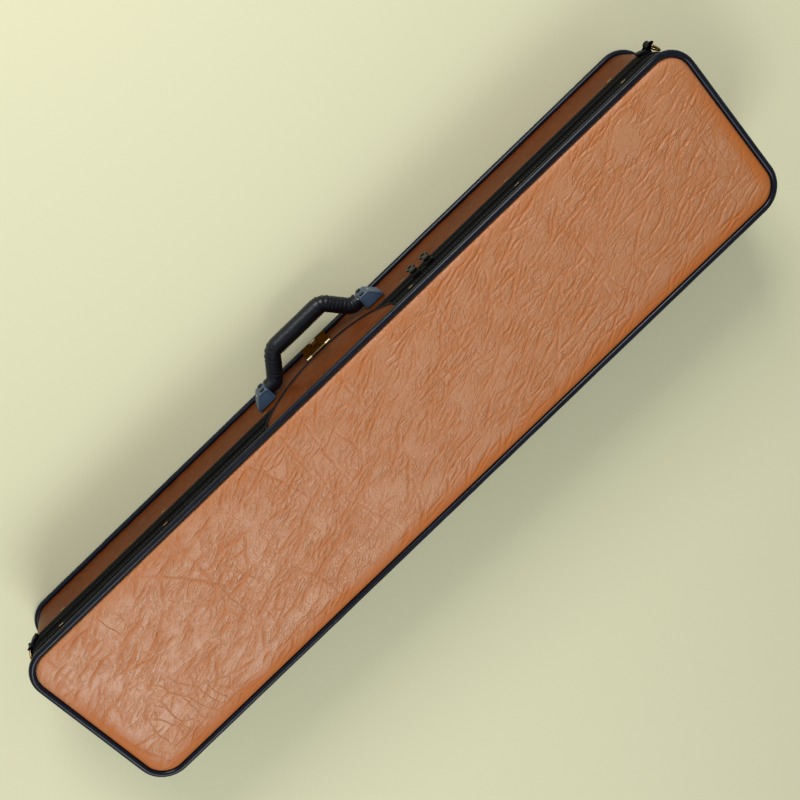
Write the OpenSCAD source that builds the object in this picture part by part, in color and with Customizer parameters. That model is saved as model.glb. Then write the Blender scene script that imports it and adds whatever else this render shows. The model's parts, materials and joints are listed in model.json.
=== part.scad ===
// Hard carrying case for a long-necked bowed instrument: two plywood trays that
// meet at a closing line, a zip band round the front and both ends, a hinge strip
// behind, a handle with a hasp lock on the front wall, and a padded cradle inside.
// X runs along the case, -Y is the handle side, Z is up. The origin is the middle
// of the rest face.

/* [Case] */
// Length over the pipings
case_l = 850; // [700:5:1050]
// Width over the pipings, without the handle
case_w = 194; // [180:1:240]
// Height from the rest face to the lid's crown
case_h = 118; // [110:1:142]
// Outside corner radius of the walls
corner_r = 26; // [20:1:36]
// Height of the closing line above the rest face
part_z = 83.5; // [78:0.5:88]

/* [Walls] */
// Thickness of the plywood and foam walls
shell_t = 7; // [5:0.5:9]
// Thickness of the floor and of the lid's top board
board_t = 5; // [3:0.5:6]
// Thickness of the leathercloth on the walls
cover_t = 1.2; // [0.8:0.1:2]
// Thickness of the padded panels above and below
panel_t = 4; // [3:0.5:6]
// Thickness of the plush lining
lining_t = 2; // [1:0.5:3]
// Gap from the closing line to the rim of each tray
rim_gap = 1; // [0.5:0.1:2]

/* [Piping] */
// Diameter of the piping
piping_d = 7; // [5:0.5:9]
// How far the piping stands out of the wall
piping_proud = 4.5; // [3.5:0.5:6]

/* [Zip] */
// Width of the whole zip band
band_w = 35; // [28:1:40]
// How far the band stands out of the wall
band_t = 2; // [1.5:0.1:3]
// Width of the closed chain of teeth
chain_w = 5; // [4:0.5:8]
// How far the teeth stand out of the band
chain_proud = 0.5; // [0.3:0.1:1]
// Distance from the hinge side's wall to the end of the band
band_stop = 4.5; // [3:0.5:12]
// Place along the case of the slider on the lock's side
slider_x = -105; // [-120:1:-90]
// Distance between the two sliders
slider_pitch = 17; // [13:1:30]
// Length of a slider's plate, across the band
slider_h = 11; // [9:0.5:14]
// Width of a slider's plate
slider_w = 8.6; // [7:0.2:10]
// Distance from a pull's pin to the middle of its eye
pull_l = 13.5; // [11:0.5:16]
// Radius of the eye at the end of a pull
eye_r = 5.2; // [4:0.2:6]

/* [Handle] */
// Place of the handle and the lock along the case
grip_x = 13; // [-40:1:40]
// Height of the handle's pins above the rest face
grip_z = 38.5; // [34:0.5:42]
// Radius of the padded grip
grip_r = 9; // [7.5:0.1:9.5]
// Length of the straight part of the grip
grip_l = 66; // [56:1:76]
// Distance from the wall to the middle of the grip
grip_out = 35; // [33:0.5:40]
// Distance from the wall to the handle's pins
pin_out = 10.5; // [10:0.5:12]
// Radius of the handle's pins
pin_r = 3; // [2:0.1:4]
// Half the distance between the inner faces of the two end tabs
tab_half = 62; // [58:1:70]
// Length of an end tab along the wall
tab_l = 21.5; // [18:0.5:28]
// Height of an end tab
tab_h = 25; // [20:1:28]
// How far an end tab stands out of the wall
tab_out = 15; // [14.5:0.5:18]

/* [Lock] */
// How far the flap hangs below the lid's piping
flap_drop = 60; // [52:1:64]
// Half the width of the flap at its top
flap_half = 86; // [74:1:95]
// Thickness of the flap
flap_t = 1.6; // [1:0.1:2.5]
// Width of the flap's edge binding
binding_w = 2.5; // [2:0.1:4]
// Width of the hasp plate
hasp_w = 30; // [24:1:36]
// Length of the hasp plate
hasp_h = 35; // [30:1:38]
// Thickness of the hasp plate
hasp_t = 1.5; // [1:0.1:2]
// Sideways travel of the latch knob
knob_travel = 5; // [3:0.5:6]

/* [Strap rings] */
// Inner radius of a strap ring
ring_r = 7; // [6:0.5:8]
// Radius of the ring's wire
ring_wire = 1.2; // [1:0.1:1.5]
// Radius of the folded leather round the right ring's bar
fold_r_right = 4; // [2.2:0.1:5]
// Radius of the folded leather round the left ring's bar
fold_r_left = 2.2; // [2:0.1:5]

/* [Cradle] */
// Width of the channel for the neck
neck_w = 46; // [40:1:60]
// Height of the foam blocks above the lining
foam_h = 59; // [45:1:60]
// Length of the soundbox pocket
pocket_l = 106; // [95:1:120]
// Width of the soundbox pocket
pocket_w = 138; // [130:1:145]
// Thickness of the pad behind the soundbox
end_pad_t = 8; // [5:1:15]
// Length of the foam block beside the neck's head
head_l = 58; // [40:1:80]
// Length of the pocket for the tuning pegs
peg_l = 145; // [120:1:170]
// Length of the foam block next to the soundbox
low_l = 155; // [100:1:170]
// Gap between neighbouring pads
pad_gap = 0.3; // [0.2:0.1:1]
// Radius of the notch in the neck rests
notch_r = 14; // [11:0.5:18]
// Length of a neck rest
rest_l = 30; // [20:1:40]

/* [Accessory box] */
// Length of the box
box_l = 200; // [120:5:220]
// Height of the box
box_h = 35; // [25:1:38]
// Thickness of its walls
box_t = 3; // [2:0.5:4]
// Thickness of its cover
lid_t = 3.2; // [2.5:0.1:4]

/* [Bow holders] */
// Distance from the middle of the case to each bow holder
bow_x = 200; // [120:5:260]
// Distance of the bow holders from the middle towards the handle
bow_y = 55; // [45:1:62]
// Length of a turn button
button_l = 40; // [30:1:44]
// Space between the lid's lining and a turn button
bow_gap = 14; // [11:0.5:15]

/* [Hidden] */

// Facets of a full circle, and of the large flap arc
round_fn = 64;
arc_fn = 180;
// Overshoot of a cut past the face it opens
eps = 0.5;
// Clearance between pieces that move past each other
run_gap = 0.3;
// Radial clearance of a pin in its hole
pin_gap = 0.05;

// Walls in plan: the leathercloth's outer face
wall_l = case_l - 2 * piping_proud;
wall_w = case_w - 2 * piping_proud;
front_y = -wall_w / 2;
rear_y = wall_w / 2;

// Piping centre lines, and the heights where walls and panels meet them
piping_r = piping_d / 2;
piping_out = piping_proud - piping_r;
low_piping_z = panel_t;
top_piping_z = case_h - panel_t;
edge_gap = 0.1;
low_wall_z = low_piping_z + piping_r + edge_gap;
top_wall_z = top_piping_z - piping_r - edge_gap;
panel_out = piping_out - piping_r - edge_gap;

// Rims of the two trays
base_rim_z = part_z - rim_gap;
lid_rim_z = part_z + rim_gap;

// Inside of the linings
shell_in = -cover_t - shell_t;
inner_out = shell_in - lining_t;
inner_l = wall_l + 2 * inner_out;
inner_w = wall_w + 2 * inner_out;
floor_z = panel_t + board_t + lining_t;
ceiling_z = case_h - floor_z;

// Zip band
band_low_z = part_z - band_w / 2;
band_top_z = part_z + band_w / 2;
chain_half = chain_w / 2;
chain_mid_gap = 0.15;
chain_out = band_t + chain_proud;

// Staples along the band
staple_xs = [-366, -229, -92, 92, 229, 366];
staple_l = 5;
staple_h = 1.1;
staple_t = 0.6;

// Hinge strip
strip_t = 1.6;
strip_l = wall_l - 2 * corner_r - 8;

// Flap: part of a disc whose rim passes through the flap's low point and its top corners
flap_r = (flap_half * flap_half + flap_drop * flap_drop) / (2 * flap_drop);
flap_low_z = top_wall_z - flap_drop;
flap_mid_z = flap_low_z + flap_r;
flap_out = chain_out + edge_gap;
binding_t = flap_t + 0.6;
flap_root_h = 4.4;

// Hasp: its pin lies just above the flap's low edge
leaf_t = 0.7;
leaf_out = flap_out + binding_t;
hasp_hinge_z = flap_low_z + 1.9;
hasp_barrel_r = 1.5;
hasp_hinge_out = leaf_out + hasp_barrel_r;
hasp_back = leaf_out + leaf_t + run_gap;
hasp_low_z = hasp_hinge_z - hasp_h;
hasp_pin_r = 0.7;
hasp_knuckle = hasp_w / 2 - 6;
knob_z = hasp_hinge_z - 22;
knob_l = 7;
knob_h = 3.6;
knob_out = 3.4;
shank_r = 1.1;
tongue_l = 8;
tongue_h = 6;
tongue_t = 1.2;
tongue_out = hasp_back - 1.8;
case_top_z = flap_low_z - 4;
case_low_z = hasp_low_z + 1;
case_half = hasp_w / 2 - 1.5;
case_out = hasp_back - run_gap;
recess_depth = 2.4;

// Slider and pull
slider_t = 2.2;
slider_out = chain_out + run_gap;
ear_t = 1.1;
ear_gap = 5.6;
pull_pin_r = 0.8;
pull_axis_out = slider_out + slider_t + 1.6;
pull_axis_z = part_z - 1.5;
pull_w = 5;
pull_t = 1.5;
barrel_r = 1.45;
eye_hole_r = 2.6;

// Handle: a leg runs at an angle from the grip's end to a short straight toe at the tab
grip_half = grip_l / 2;
leg_r = grip_r - 0.8;
toe_u = tab_half - leg_r - 1.4;
lean = atan2(grip_out - pin_out, toe_u - grip_half);
sleeve_in = 5;
pin_l = 14;
tab_flat = 11.5;
tab_toe = 4;
rivet_r = 2.6;
rivet_h = 1.2;
rivet_in = 5.5;
rivet_dz = 8.5;

// Strap anchors wrap round the two front corners, angles from the end wall's normal
anchor_t = 3.4;
anchor_from = 52;
anchor_to = 80;
anchor_z = (band_low_z + part_z - chain_half) / 2;
anchor_half = ring_r - ring_wire - run_gap;
fold_angle = 54;
ring_bar_r = 1.2;
ring_arm = 4;
rest_turn_right = 28;
rest_turn_left = 12;

// Cradle, from the lock's left end to the right: soundbox pocket, then the neck channel
end_x = inner_l / 2;
pocket_x = end_x - end_pad_t - pocket_l;
channel_l = pocket_x + end_x;
front_block_l = channel_l / 3;
peg_x = -end_x + head_l;
box_x = pocket_x - low_l - box_l;
rest_h = 40;
rest_axis_z = floor_z + 45;

// Accessory box and its hinge
box_y0 = neck_w / 2 + pad_gap;
box_y1 = inner_w / 2 - pad_gap;
box_top_z = floor_z + box_h;
box_knuckle_r = 2.2;
box_pin_r = 1;
box_axis_y = box_y1 - box_knuckle_r - 0.7;
box_axis_z = box_top_z + box_knuckle_r + 0.2;
box_knuckle_l = box_l / 5;
cover_gap = 0.6;
cover_y0 = box_y0 + 2;
cover_y1 = box_axis_y - box_knuckle_r - 0.6;
cover_z = box_top_z + cover_gap;

// Bow holders
post_r = 3.2;
post_base_r = 9;
post_base_t = 2;
button_t = 3.9;
button_w = 9;
button_z = ceiling_z - bow_gap - button_t;
post_head_r = 3.4;
post_head_t = 1.4;
post_pin_r = 2;
post_gap = 0.15;

// ---------- shared shapes ----------

// Rounded rectangle in plan, at a distance outside the wall's outer face
module plan(out) {
    l = wall_l + 2 * out;
    w = wall_w + 2 * out;
    r = corner_r + out;
    square([l - 2 * r, w], center = true);
    square([l, w - 2 * r], center = true);
    for (x = [-1, 1], y = [-1, 1]) {
        translate([x * (l / 2 - r), y * (w / 2 - r)]) circle(r = r, $fn = round_fn);
    }
}

module slab(out, z0, z1) {
    translate([0, 0, z0]) linear_extrude(height = z1 - z0) plan(out);
}

// A wall between two plan outlines
module ring(out0, out1, z0, z1) {
    difference() {
        slab(out1, z0, z1);
        slab(out0, z0 - eps, z1 + eps);
    }
}

// A wall that is left open behind, where the hinge strip is
module zip_wall(out0, out1, z0, z1) {
    intersection() {
        ring(out0, out1, z0, z1);
        translate([-case_l, -case_w, z0 - eps])
            cube([2 * case_l, case_w + rear_y - band_stop, z1 - z0 + 2 * eps]);
    }
}

// Round cord along the plan outline
module piping(z) {
    r = corner_r + piping_out;
    sx = wall_l / 2 + piping_out - r;
    sy = wall_w / 2 + piping_out - r;
    translate([0, 0, z]) {
        for (s = [-1, 1]) {
            translate([-sx, s * (sy + r), 0]) rotate([0, 90, 0])
                cylinder(r = piping_r, h = 2 * sx, $fn = round_fn);
            translate([s * (sx + r), sy, 0]) rotate([90, 0, 0])
                cylinder(r = piping_r, h = 2 * sy, $fn = round_fn);
        }
        for (q = [0:3]) {
            cx = (q == 0 || q == 3) ? sx : -sx;
            cy = (q < 2) ? sy : -sy;
            translate([cx, cy, 0]) rotate([0, 0, 90 * q]) rotate_extrude(angle = 90, $fn = round_fn)
                translate([r, 0]) circle(r = piping_r, $fn = round_fn);
        }
    }
}

// A box on the front wall, from out0 to out1 away from it
module front_box(x0, x1, out0, out1, z0, z1) {
    translate([x0, front_y - out1, z0]) cube([x1 - x0, out1 - out0, z1 - z0]);
}

// A rod along X in front of the wall
module front_rod(x0, x1, out, z, r) {
    translate([x0, front_y - out, z]) rotate([0, 90, 0]) cylinder(r = r, h = x1 - x0, $fn = round_fn);
}

// A stud that points away from the front wall
module front_stud(x, z, r, out0, out1) {
    translate([x, front_y - out0, z]) rotate([90, 0, 0]) cylinder(r = r, h = out1 - out0, $fn = round_fn);
}

// A pad cut to the inside of the lining
module pad(x0, x1, y0, y1, h) {
    intersection() {
        slab(inner_out - pad_gap, floor_z, floor_z + h);
        translate([x0 + pad_gap / 2, y0, floor_z - eps])
            cube([x1 - x0 - pad_gap, y1 - y0, h + 2 * eps]);
    }
}

// ---------- base ----------

module base_shell() {
    color("burlywood") difference() {
        union() {
            slab(panel_out, panel_t, low_wall_z + eps);
            slab(-cover_t, low_wall_z, base_rim_z);
        }
        slab(shell_in, panel_t + board_t, base_rim_z + eps);
    }
}

module base_wall_cover() {
    color("saddlebrown") ring(-cover_t, 0, low_wall_z, base_rim_z);
}

module bottom_cover() {
    color("peru") slab(panel_out, 0, panel_t);
}

module bottom_piping() {
    color([0.07, 0.08, 0.1]) piping(low_piping_z);
}

module base_zip_tape() {
    color([0.09, 0.09, 0.09]) zip_wall(0, band_t, band_low_z, part_z - chain_half);
}

module base_zip_chain() {
    color([0.05, 0.05, 0.05])
        zip_wall(0, chain_out, part_z - chain_half, part_z - chain_mid_gap);
}

module staples(z) {
    color("goldenrod") for (x = staple_xs) {
        front_box(x - staple_l / 2, x + staple_l / 2, band_t, band_t + staple_t, z, z + staple_h);
    }
}

module base_staples() {
    staples(band_low_z + 0.6);
}

module hinge_strip() {
    color("saddlebrown") translate([-strip_l / 2, rear_y, band_low_z])
        cube([strip_l, strip_t, band_w]);
}

module base_lining() {
    color("darkred") difference() {
        slab(shell_in, panel_t + board_t, base_rim_z);
        slab(inner_out, floor_z, base_rim_z + eps);
    }
}

module front_block(i) {
    color("darkred") pad(-end_x + i * front_block_l, -end_x + (i + 1) * front_block_l,
        -case_w, -neck_w / 2, foam_h);
}

module rear_block(x0, x1) {
    color("darkred") pad(x0, x1, neck_w / 2, case_w, foam_h);
}

module foam_head_front() {
    front_block(0);
}

module foam_mid_front() {
    front_block(1);
}

module foam_low_front() {
    front_block(2);
}

module foam_head_rear() {
    rear_block(-end_x - pad_gap, peg_x);
}

module foam_mid_rear() {
    rear_block(peg_x + peg_l, box_x);
}

module foam_low_rear() {
    rear_block(pocket_x - low_l, pocket_x);
}

module soundbox_pad_front() {
    color("darkred") pad(pocket_x, end_x - end_pad_t, -case_w, -pocket_w / 2, foam_h);
}

module soundbox_pad_rear() {
    color("darkred") pad(pocket_x, end_x - end_pad_t, pocket_w / 2, case_w, foam_h);
}

module soundbox_pad_end() {
    color("darkred") pad(end_x - end_pad_t, end_x + pad_gap, -case_w, case_w, foam_h);
}

module neck_rest(x) {
    color("darkred") difference() {
        pad(x - rest_l / 2, x + rest_l / 2, pad_gap - neck_w / 2, neck_w / 2 - pad_gap, rest_h);
        translate([x - rest_l, 0, rest_axis_z]) rotate([0, 90, 0])
            cylinder(r = notch_r, h = 2 * rest_l, $fn = round_fn);
    }
}

module neck_rest_head() {
    neck_rest(peg_x + peg_l + rest_l);
}

module neck_rest_low() {
    neck_rest(pocket_x - 2 * rest_l);
}

// ---------- accessory box ----------

// Barrels of the piano hinge: the box has the outer two, the cover the three between
module knuckle(i, gap) {
    translate([box_x + pad_gap + i * box_knuckle_l + gap, box_axis_y, box_axis_z]) rotate([0, 90, 0])
        cylinder(r = box_knuckle_r, h = box_knuckle_l - 2 * pad_gap - 2 * gap, $fn = round_fn);
}

module knuckle_bore() {
    translate([box_x - eps, box_axis_y, box_axis_z]) rotate([0, 90, 0])
        cylinder(r = box_pin_r + pin_gap, h = box_l + 2 * eps, $fn = round_fn);
}

module accessory_box() {
    x0 = box_x + pad_gap;
    l = box_l - 2 * pad_gap;
    color("firebrick") difference() {
        union() {
            difference() {
                translate([x0, box_y0, floor_z]) cube([l, box_y1 - box_y0, box_h]);
                translate([x0 + box_t, box_y0 + box_t, floor_z + box_t])
                    cube([l - 2 * box_t, box_y1 - box_y0 - 2 * box_t, box_h]);
            }
            for (i = [0, 4]) {
                knuckle(i, 0);
                translate([x0 + i * box_knuckle_l, box_axis_y - 1, box_top_z - 1])
                    cube([box_knuckle_l - 2 * pad_gap, box_y1 - box_axis_y + 1, box_knuckle_r + 0.4]);
            }
        }
        knuckle_bore();
    }
}

module accessory_hinge_pin() {
    color("silver") translate([box_x + pad_gap, box_axis_y, box_axis_z]) rotate([0, 90, 0])
        cylinder(r = box_pin_r, h = box_l - 2 * pad_gap, $fn = round_fn);
}

module accessory_cover() {
    color("firebrick") difference() {
        union() {
            translate([box_x + pad_gap, cover_y0, cover_z])
                cube([box_l - 2 * pad_gap, cover_y1 - cover_y0, lid_t]);
            for (i = [1:3]) {
                knuckle(i, pad_gap);
                translate([box_x + 2 * pad_gap + i * box_knuckle_l, cover_y1 - 1, cover_z + 0.6])
                    cube([box_knuckle_l - 4 * pad_gap, box_axis_y - cover_y1 + 1, lid_t - 0.8]);
            }
        }
        knuckle_bore();
    }
}

module accessory_tab() {
    tab_w = 12;
    color("saddlebrown") translate([box_x + box_l / 2 - tab_w / 2, cover_y0 + 1, cover_z + lid_t])
        cube([tab_w, 14, 1]);
}

// ---------- handle ----------

module handle_tab(s) {
    color([0.15, 0.2, 0.27]) difference() {
        translate([grip_x, front_y, grip_z - tab_h / 2]) linear_extrude(height = tab_h)
            polygon([
                [s * tab_half, 0],
                [s * (tab_half + tab_l), 0],
                [s * (tab_half + tab_l), -tab_toe],
                [s * (tab_half + tab_flat), -tab_out],
                [s * tab_half, -tab_out]
            ]);
        front_rod(grip_x + s * (tab_half + 6) - 10, grip_x + s * (tab_half + 6) + 10,
            pin_out, grip_z, pin_r + pin_gap);
    }
}

module handle_tab_left() {
    handle_tab(1);
}

module handle_tab_right() {
    handle_tab(-1);
}

module handle_rivets() {
    color([0.2, 0.2, 0.22]) for (s = [-1, 1], t = [-1, 1]) {
        front_stud(grip_x + s * (tab_half + rivet_in), grip_z + t * rivet_dz, rivet_r,
            tab_out, tab_out + rivet_h);
    }
}

// A rod along the handle's middle line, between two points given as [u, out], whose
// ends are cut at an angle so that the next rod's end meets them
module limb(a, b, start_cut, end_cut) {
    d = b - a;
    spare = 2 * leg_r;
    reach = 3 * spare;
    translate([a[0], -a[1], 0]) rotate([0, 0, atan2(-d[1], d[0])]) difference() {
        translate([-spare, 0, 0]) rotate([0, 90, 0])
            cylinder(r = leg_r, h = norm(d) + 2 * spare, $fn = round_fn);
        rotate([0, 0, start_cut]) translate([-reach, -reach / 2, -reach / 2]) cube(reach);
        translate([norm(d), 0, 0]) rotate([0, 0, end_cut])
            translate([0, -reach / 2, -reach / 2]) cube(reach);
    }
}

// The handle's straight grip with its sleeve
module handle_grip() {
    m = lean / 2;
    color([0.09, 0.1, 0.13]) translate([grip_x, front_y, grip_z]) {
        limb([-grip_half, grip_out], [grip_half, grip_out], -m, m);
        translate([sleeve_in - grip_half, -grip_out, 0]) rotate([0, 90, 0])
            cylinder(r = grip_r, h = grip_l - 2 * sleeve_in, $fn = round_fn);
    }
}

module handle_legs() {
    m = lean / 2;
    color([0.09, 0.1, 0.13]) translate([grip_x, front_y, grip_z]) {
        limb([-toe_u, pin_out], [-grip_half, grip_out], m, m);
        limb([grip_half, grip_out], [toe_u, pin_out], -m, -m);
    }
}

module handle_toes() {
    m = lean / 2;
    toe = tab_half - run_gap;
    color([0.09, 0.1, 0.13]) translate([grip_x, front_y, grip_z]) {
        limb([-toe, pin_out], [-toe_u, pin_out], 0, -m);
        limb([toe_u, pin_out], [toe, pin_out], m, 0);
    }
}

module handle_pins() {
    color("dimgray") for (s = [-1, 1]) {
        front_rod(s < 0 ? grip_x - tab_half - pin_l : grip_x + tab_half - run_gap,
            s < 0 ? grip_x - tab_half + run_gap : grip_x + tab_half + pin_l, pin_out, grip_z, pin_r);
    }
}

// ---------- lock ----------

// Part of the flap's disc, between two distances from the wall
module flap_disc(r, out0, out1) {
    intersection() {
        translate([grip_x, front_y - out0, flap_mid_z]) rotate([90, 0, 0])
            cylinder(r = r, h = out1 - out0, $fn = arc_fn);
        front_box(grip_x - flap_r, grip_x + flap_r, out0 - eps, out1 + eps,
            flap_low_z - eps, top_wall_z);
    }
}

module lock_flap() {
    color("saddlebrown") union() {
        flap_disc(flap_r - binding_w, flap_out, flap_out + flap_t);
        intersection() {
            flap_disc(flap_r - binding_w, 0, flap_out + flap_t);
            front_box(grip_x - flap_r, grip_x + flap_r, 0, flap_out + flap_t,
                top_wall_z - flap_root_h, top_wall_z);
        }
    }
}

module flap_binding() {
    color([0.06, 0.07, 0.09]) difference() {
        flap_disc(flap_r, flap_out, flap_out + binding_t);
        translate([grip_x, front_y, flap_mid_z]) rotate([90, 0, 0])
            cylinder(r = flap_r - binding_w, h = flap_out + binding_t + eps, $fn = arc_fn);
    }
}

module lock_case() {
    color("goldenrod") difference() {
        front_box(grip_x - case_half, grip_x + case_half, 0, case_out, case_low_z, case_top_z);
        front_box(grip_x - tongue_l, grip_x + tongue_l + knob_travel - 1,
            case_out - recess_depth, case_out + eps, knob_z - 5, case_top_z + eps);
    }
}

// Leaf behind the hasp plate, with a barrel at each end
module hasp_leaf() {
    color("goldenrod") difference() {
        union() {
            front_box(grip_x - hasp_w / 2 + 0.5, grip_x + hasp_w / 2 - 0.5, leaf_out, leaf_out + leaf_t,
                case_top_z + 0.5, hasp_hinge_z);
            for (s = [-1, 1]) {
                front_rod(s < 0 ? grip_x - hasp_w / 2 : grip_x + hasp_knuckle,
                    s < 0 ? grip_x - hasp_knuckle : grip_x + hasp_w / 2,
                    hasp_hinge_out, hasp_hinge_z, hasp_barrel_r);
            }
        }
        front_rod(grip_x - hasp_w, grip_x + hasp_w, hasp_hinge_out, hasp_hinge_z, hasp_pin_r);
        front_rod(grip_x - hasp_knuckle, grip_x + hasp_knuckle, hasp_hinge_out, hasp_hinge_z,
            hasp_barrel_r + run_gap);
    }
}

module hasp_pin() {
    color("silver") front_rod(grip_x - hasp_w / 2, grip_x + hasp_w / 2,
        hasp_hinge_out, hasp_hinge_z, hasp_pin_r);
}

module hasp_plate() {
    color("gold") difference() {
        union() {
            front_box(grip_x - hasp_w / 2, grip_x + hasp_w / 2, hasp_back, hasp_back + hasp_t,
                hasp_low_z, hasp_hinge_z - hasp_barrel_r - run_gap);
            front_box(grip_x - hasp_knuckle + run_gap, grip_x + hasp_knuckle - run_gap,
                hasp_back, hasp_back + hasp_t, hasp_low_z, hasp_hinge_z - 0.4);
            front_rod(grip_x - hasp_knuckle + run_gap, grip_x + hasp_knuckle - run_gap,
                hasp_hinge_out, hasp_hinge_z, hasp_barrel_r);
        }
        front_rod(grip_x - hasp_w, grip_x + hasp_w, hasp_hinge_out, hasp_hinge_z,
            hasp_pin_r + pin_gap);
        front_box(grip_x - shank_r - run_gap, grip_x + shank_r + knob_travel + run_gap,
            hasp_back - eps, hasp_back + hasp_t + eps,
            knob_z - shank_r - run_gap, knob_z + shank_r + run_gap);
    }
}

module latch_knob() {
    face = hasp_back + hasp_t + 0.15;
    color("gold") union() {
        front_box(grip_x - knob_l / 2 + knob_h / 2, grip_x + knob_l / 2 - knob_h / 2,
            face, face + knob_out, knob_z - knob_h / 2, knob_z + knob_h / 2);
        for (s = [-1, 1]) {
            front_stud(grip_x + s * (knob_l - knob_h) / 2, knob_z, knob_h / 2, face, face + knob_out);
        }
        front_stud(grip_x, knob_z, shank_r, tongue_out, face + 1);
        front_box(grip_x - tongue_l / 2, grip_x + tongue_l / 2, tongue_out, tongue_out + tongue_t,
            knob_z - tongue_h / 2, knob_z + tongue_h / 2);
    }
}

// ---------- strap rings ----------

// Frame at the middle of a front corner's arc: s is -1 on the right and 1 on the left
module at_corner(s) {
    translate([s * (wall_l / 2 - corner_r), -(wall_w / 2 - corner_r), 0]) children();
}

function fold_radius(s) = s < 0 ? fold_r_right : fold_r_left;
function fold_place(s) = corner_r + band_t + fold_radius(s) + (s < 0 ? 2 : 0.4);
function fold_point(s) = fold_place(s) * [s * cos(fold_angle), -sin(fold_angle)];

module strap_anchor(s) {
    r0 = corner_r + band_t;
    reach = 2 * (r0 + anchor_t);
    color([0.08, 0.08, 0.09]) at_corner(s) difference() {
        union() {
            translate([0, 0, anchor_z - anchor_half]) linear_extrude(height = 2 * anchor_half)
                intersection() {
                    difference() {
                        circle(r = r0 + anchor_t, $fn = round_fn);
                        circle(r = r0, $fn = round_fn);
                    }
                    polygon([
                        [0, 0],
                        reach * [s * cos(anchor_from), -sin(anchor_from)],
                        reach * [s * cos(anchor_to), -sin(anchor_to)]
                    ]);
                }
            translate([fold_point(s)[0], fold_point(s)[1], anchor_z - anchor_half])
                cylinder(r = fold_radius(s), h = 2 * anchor_half, $fn = round_fn);
        }
        translate([fold_point(s)[0], fold_point(s)[1], anchor_z - 2 * anchor_half])
            cylinder(r = ring_bar_r + pin_gap, h = 4 * anchor_half, $fn = round_fn);
        translate([0, 0, anchor_z - 2 * anchor_half]) cylinder(r = r0, h = 4 * anchor_half, $fn = round_fn);
    }
}

module strap_anchor_left() {
    strap_anchor(1);
}

module strap_anchor_right() {
    strap_anchor(-1);
}

// D-shaped ring: a straight bar, two arms and a half circle
module strap_ring(s) {
    turn = s < 0 ? rest_turn_right : rest_turn_left;
    color("goldenrod") at_corner(s) translate([fold_point(s)[0], fold_point(s)[1], anchor_z])
        rotate([0, 0, s < 0 ? 90 + fold_angle - turn : 90 - fold_angle + turn]) {
            translate([0, 0, -ring_r]) cylinder(r = ring_bar_r, h = 2 * ring_r, $fn = round_fn);
            for (t = [-1, 1]) {
                translate([0, 0, t * ring_r]) rotate([0, 90, 0])
                    cylinder(r = ring_wire, h = ring_arm, $fn = round_fn);
                translate([0, 0, t * ring_r]) sphere(r = ring_wire, $fn = round_fn);
            }
            translate([ring_arm, 0, 0]) rotate([90, 0, 0]) rotate([0, 0, -90])
                rotate_extrude(angle = 180, $fn = round_fn)
                    translate([ring_r, 0]) circle(r = ring_wire, $fn = round_fn);
        }
}

module strap_ring_left() {
    strap_ring(1);
}

module strap_ring_right() {
    strap_ring(-1);
}

// ---------- lid ----------

module lid_shell() {
    color("burlywood") difference() {
        union() {
            slab(-cover_t, lid_rim_z, top_wall_z);
            slab(panel_out, top_wall_z - eps, case_h - panel_t);
        }
        slab(shell_in, lid_rim_z - eps, case_h - panel_t - board_t);
    }
}

module lid_wall_cover() {
    color("saddlebrown") ring(-cover_t, 0, lid_rim_z, top_wall_z);
}

module lid_panel_cover() {
    color([0.7, 0.45, 0.34]) slab(panel_out, case_h - panel_t, case_h);
}

module lid_piping() {
    color([0.07, 0.08, 0.1]) piping(top_piping_z);
}

module lid_zip_tape() {
    color([0.09, 0.09, 0.09]) zip_wall(0, band_t, part_z + chain_half, band_top_z);
}

module lid_zip_chain() {
    color([0.05, 0.05, 0.05])
        zip_wall(0, chain_out, part_z + chain_mid_gap, part_z + chain_half);
}

module lid_staples() {
    color("goldenrod") for (x = staple_xs) {
        if (abs(x - grip_x) > flap_half + staple_l) {
            front_box(x - staple_l / 2, x + staple_l / 2, band_t, band_t + staple_t,
                band_top_z - 0.6 - staple_h, band_top_z - 0.6);
        }
    }
}

module lid_lining() {
    color("darkred") difference() {
        slab(shell_in, lid_rim_z, case_h - panel_t - board_t);
        slab(inner_out, lid_rim_z - eps, ceiling_z);
    }
}

// ---------- bow holders ----------

module bow_post(s) {
    color("goldenrod") translate([s * bow_x, -bow_y, 0]) {
        translate([0, 0, ceiling_z - post_base_t])
            cylinder(r = post_base_r, h = post_base_t, $fn = round_fn);
        translate([0, 0, button_z + button_t + post_gap])
            cylinder(r = post_r, h = bow_gap - post_gap, $fn = round_fn);
        translate([0, 0, button_z - post_gap - post_head_t])
            cylinder(r = post_pin_r, h = button_t + bow_gap, $fn = round_fn);
        translate([0, 0, button_z - post_gap - post_head_t])
            cylinder(r = post_head_r, h = post_head_t, $fn = round_fn);
    }
}

module bow_post_left() {
    bow_post(1);
}

module bow_post_right() {
    bow_post(-1);
}

module bow_button(s) {
    straight = button_l - button_w;
    color([0.12, 0.1, 0.1]) translate([s * bow_x, -bow_y, button_z]) difference() {
        linear_extrude(height = button_t) {
            square([button_w, straight], center = true);
            for (t = [-1, 1]) {
                translate([0, t * straight / 2]) circle(r = button_w / 2, $fn = round_fn);
            }
        }
        translate([0, 0, -eps]) cylinder(r = post_pin_r + pin_gap, h = button_t + 2 * eps, $fn = round_fn);
    }
}

module bow_button_left() {
    bow_button(1);
}

module bow_button_right() {
    bow_button(-1);
}

// ---------- zip sliders ----------

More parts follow.
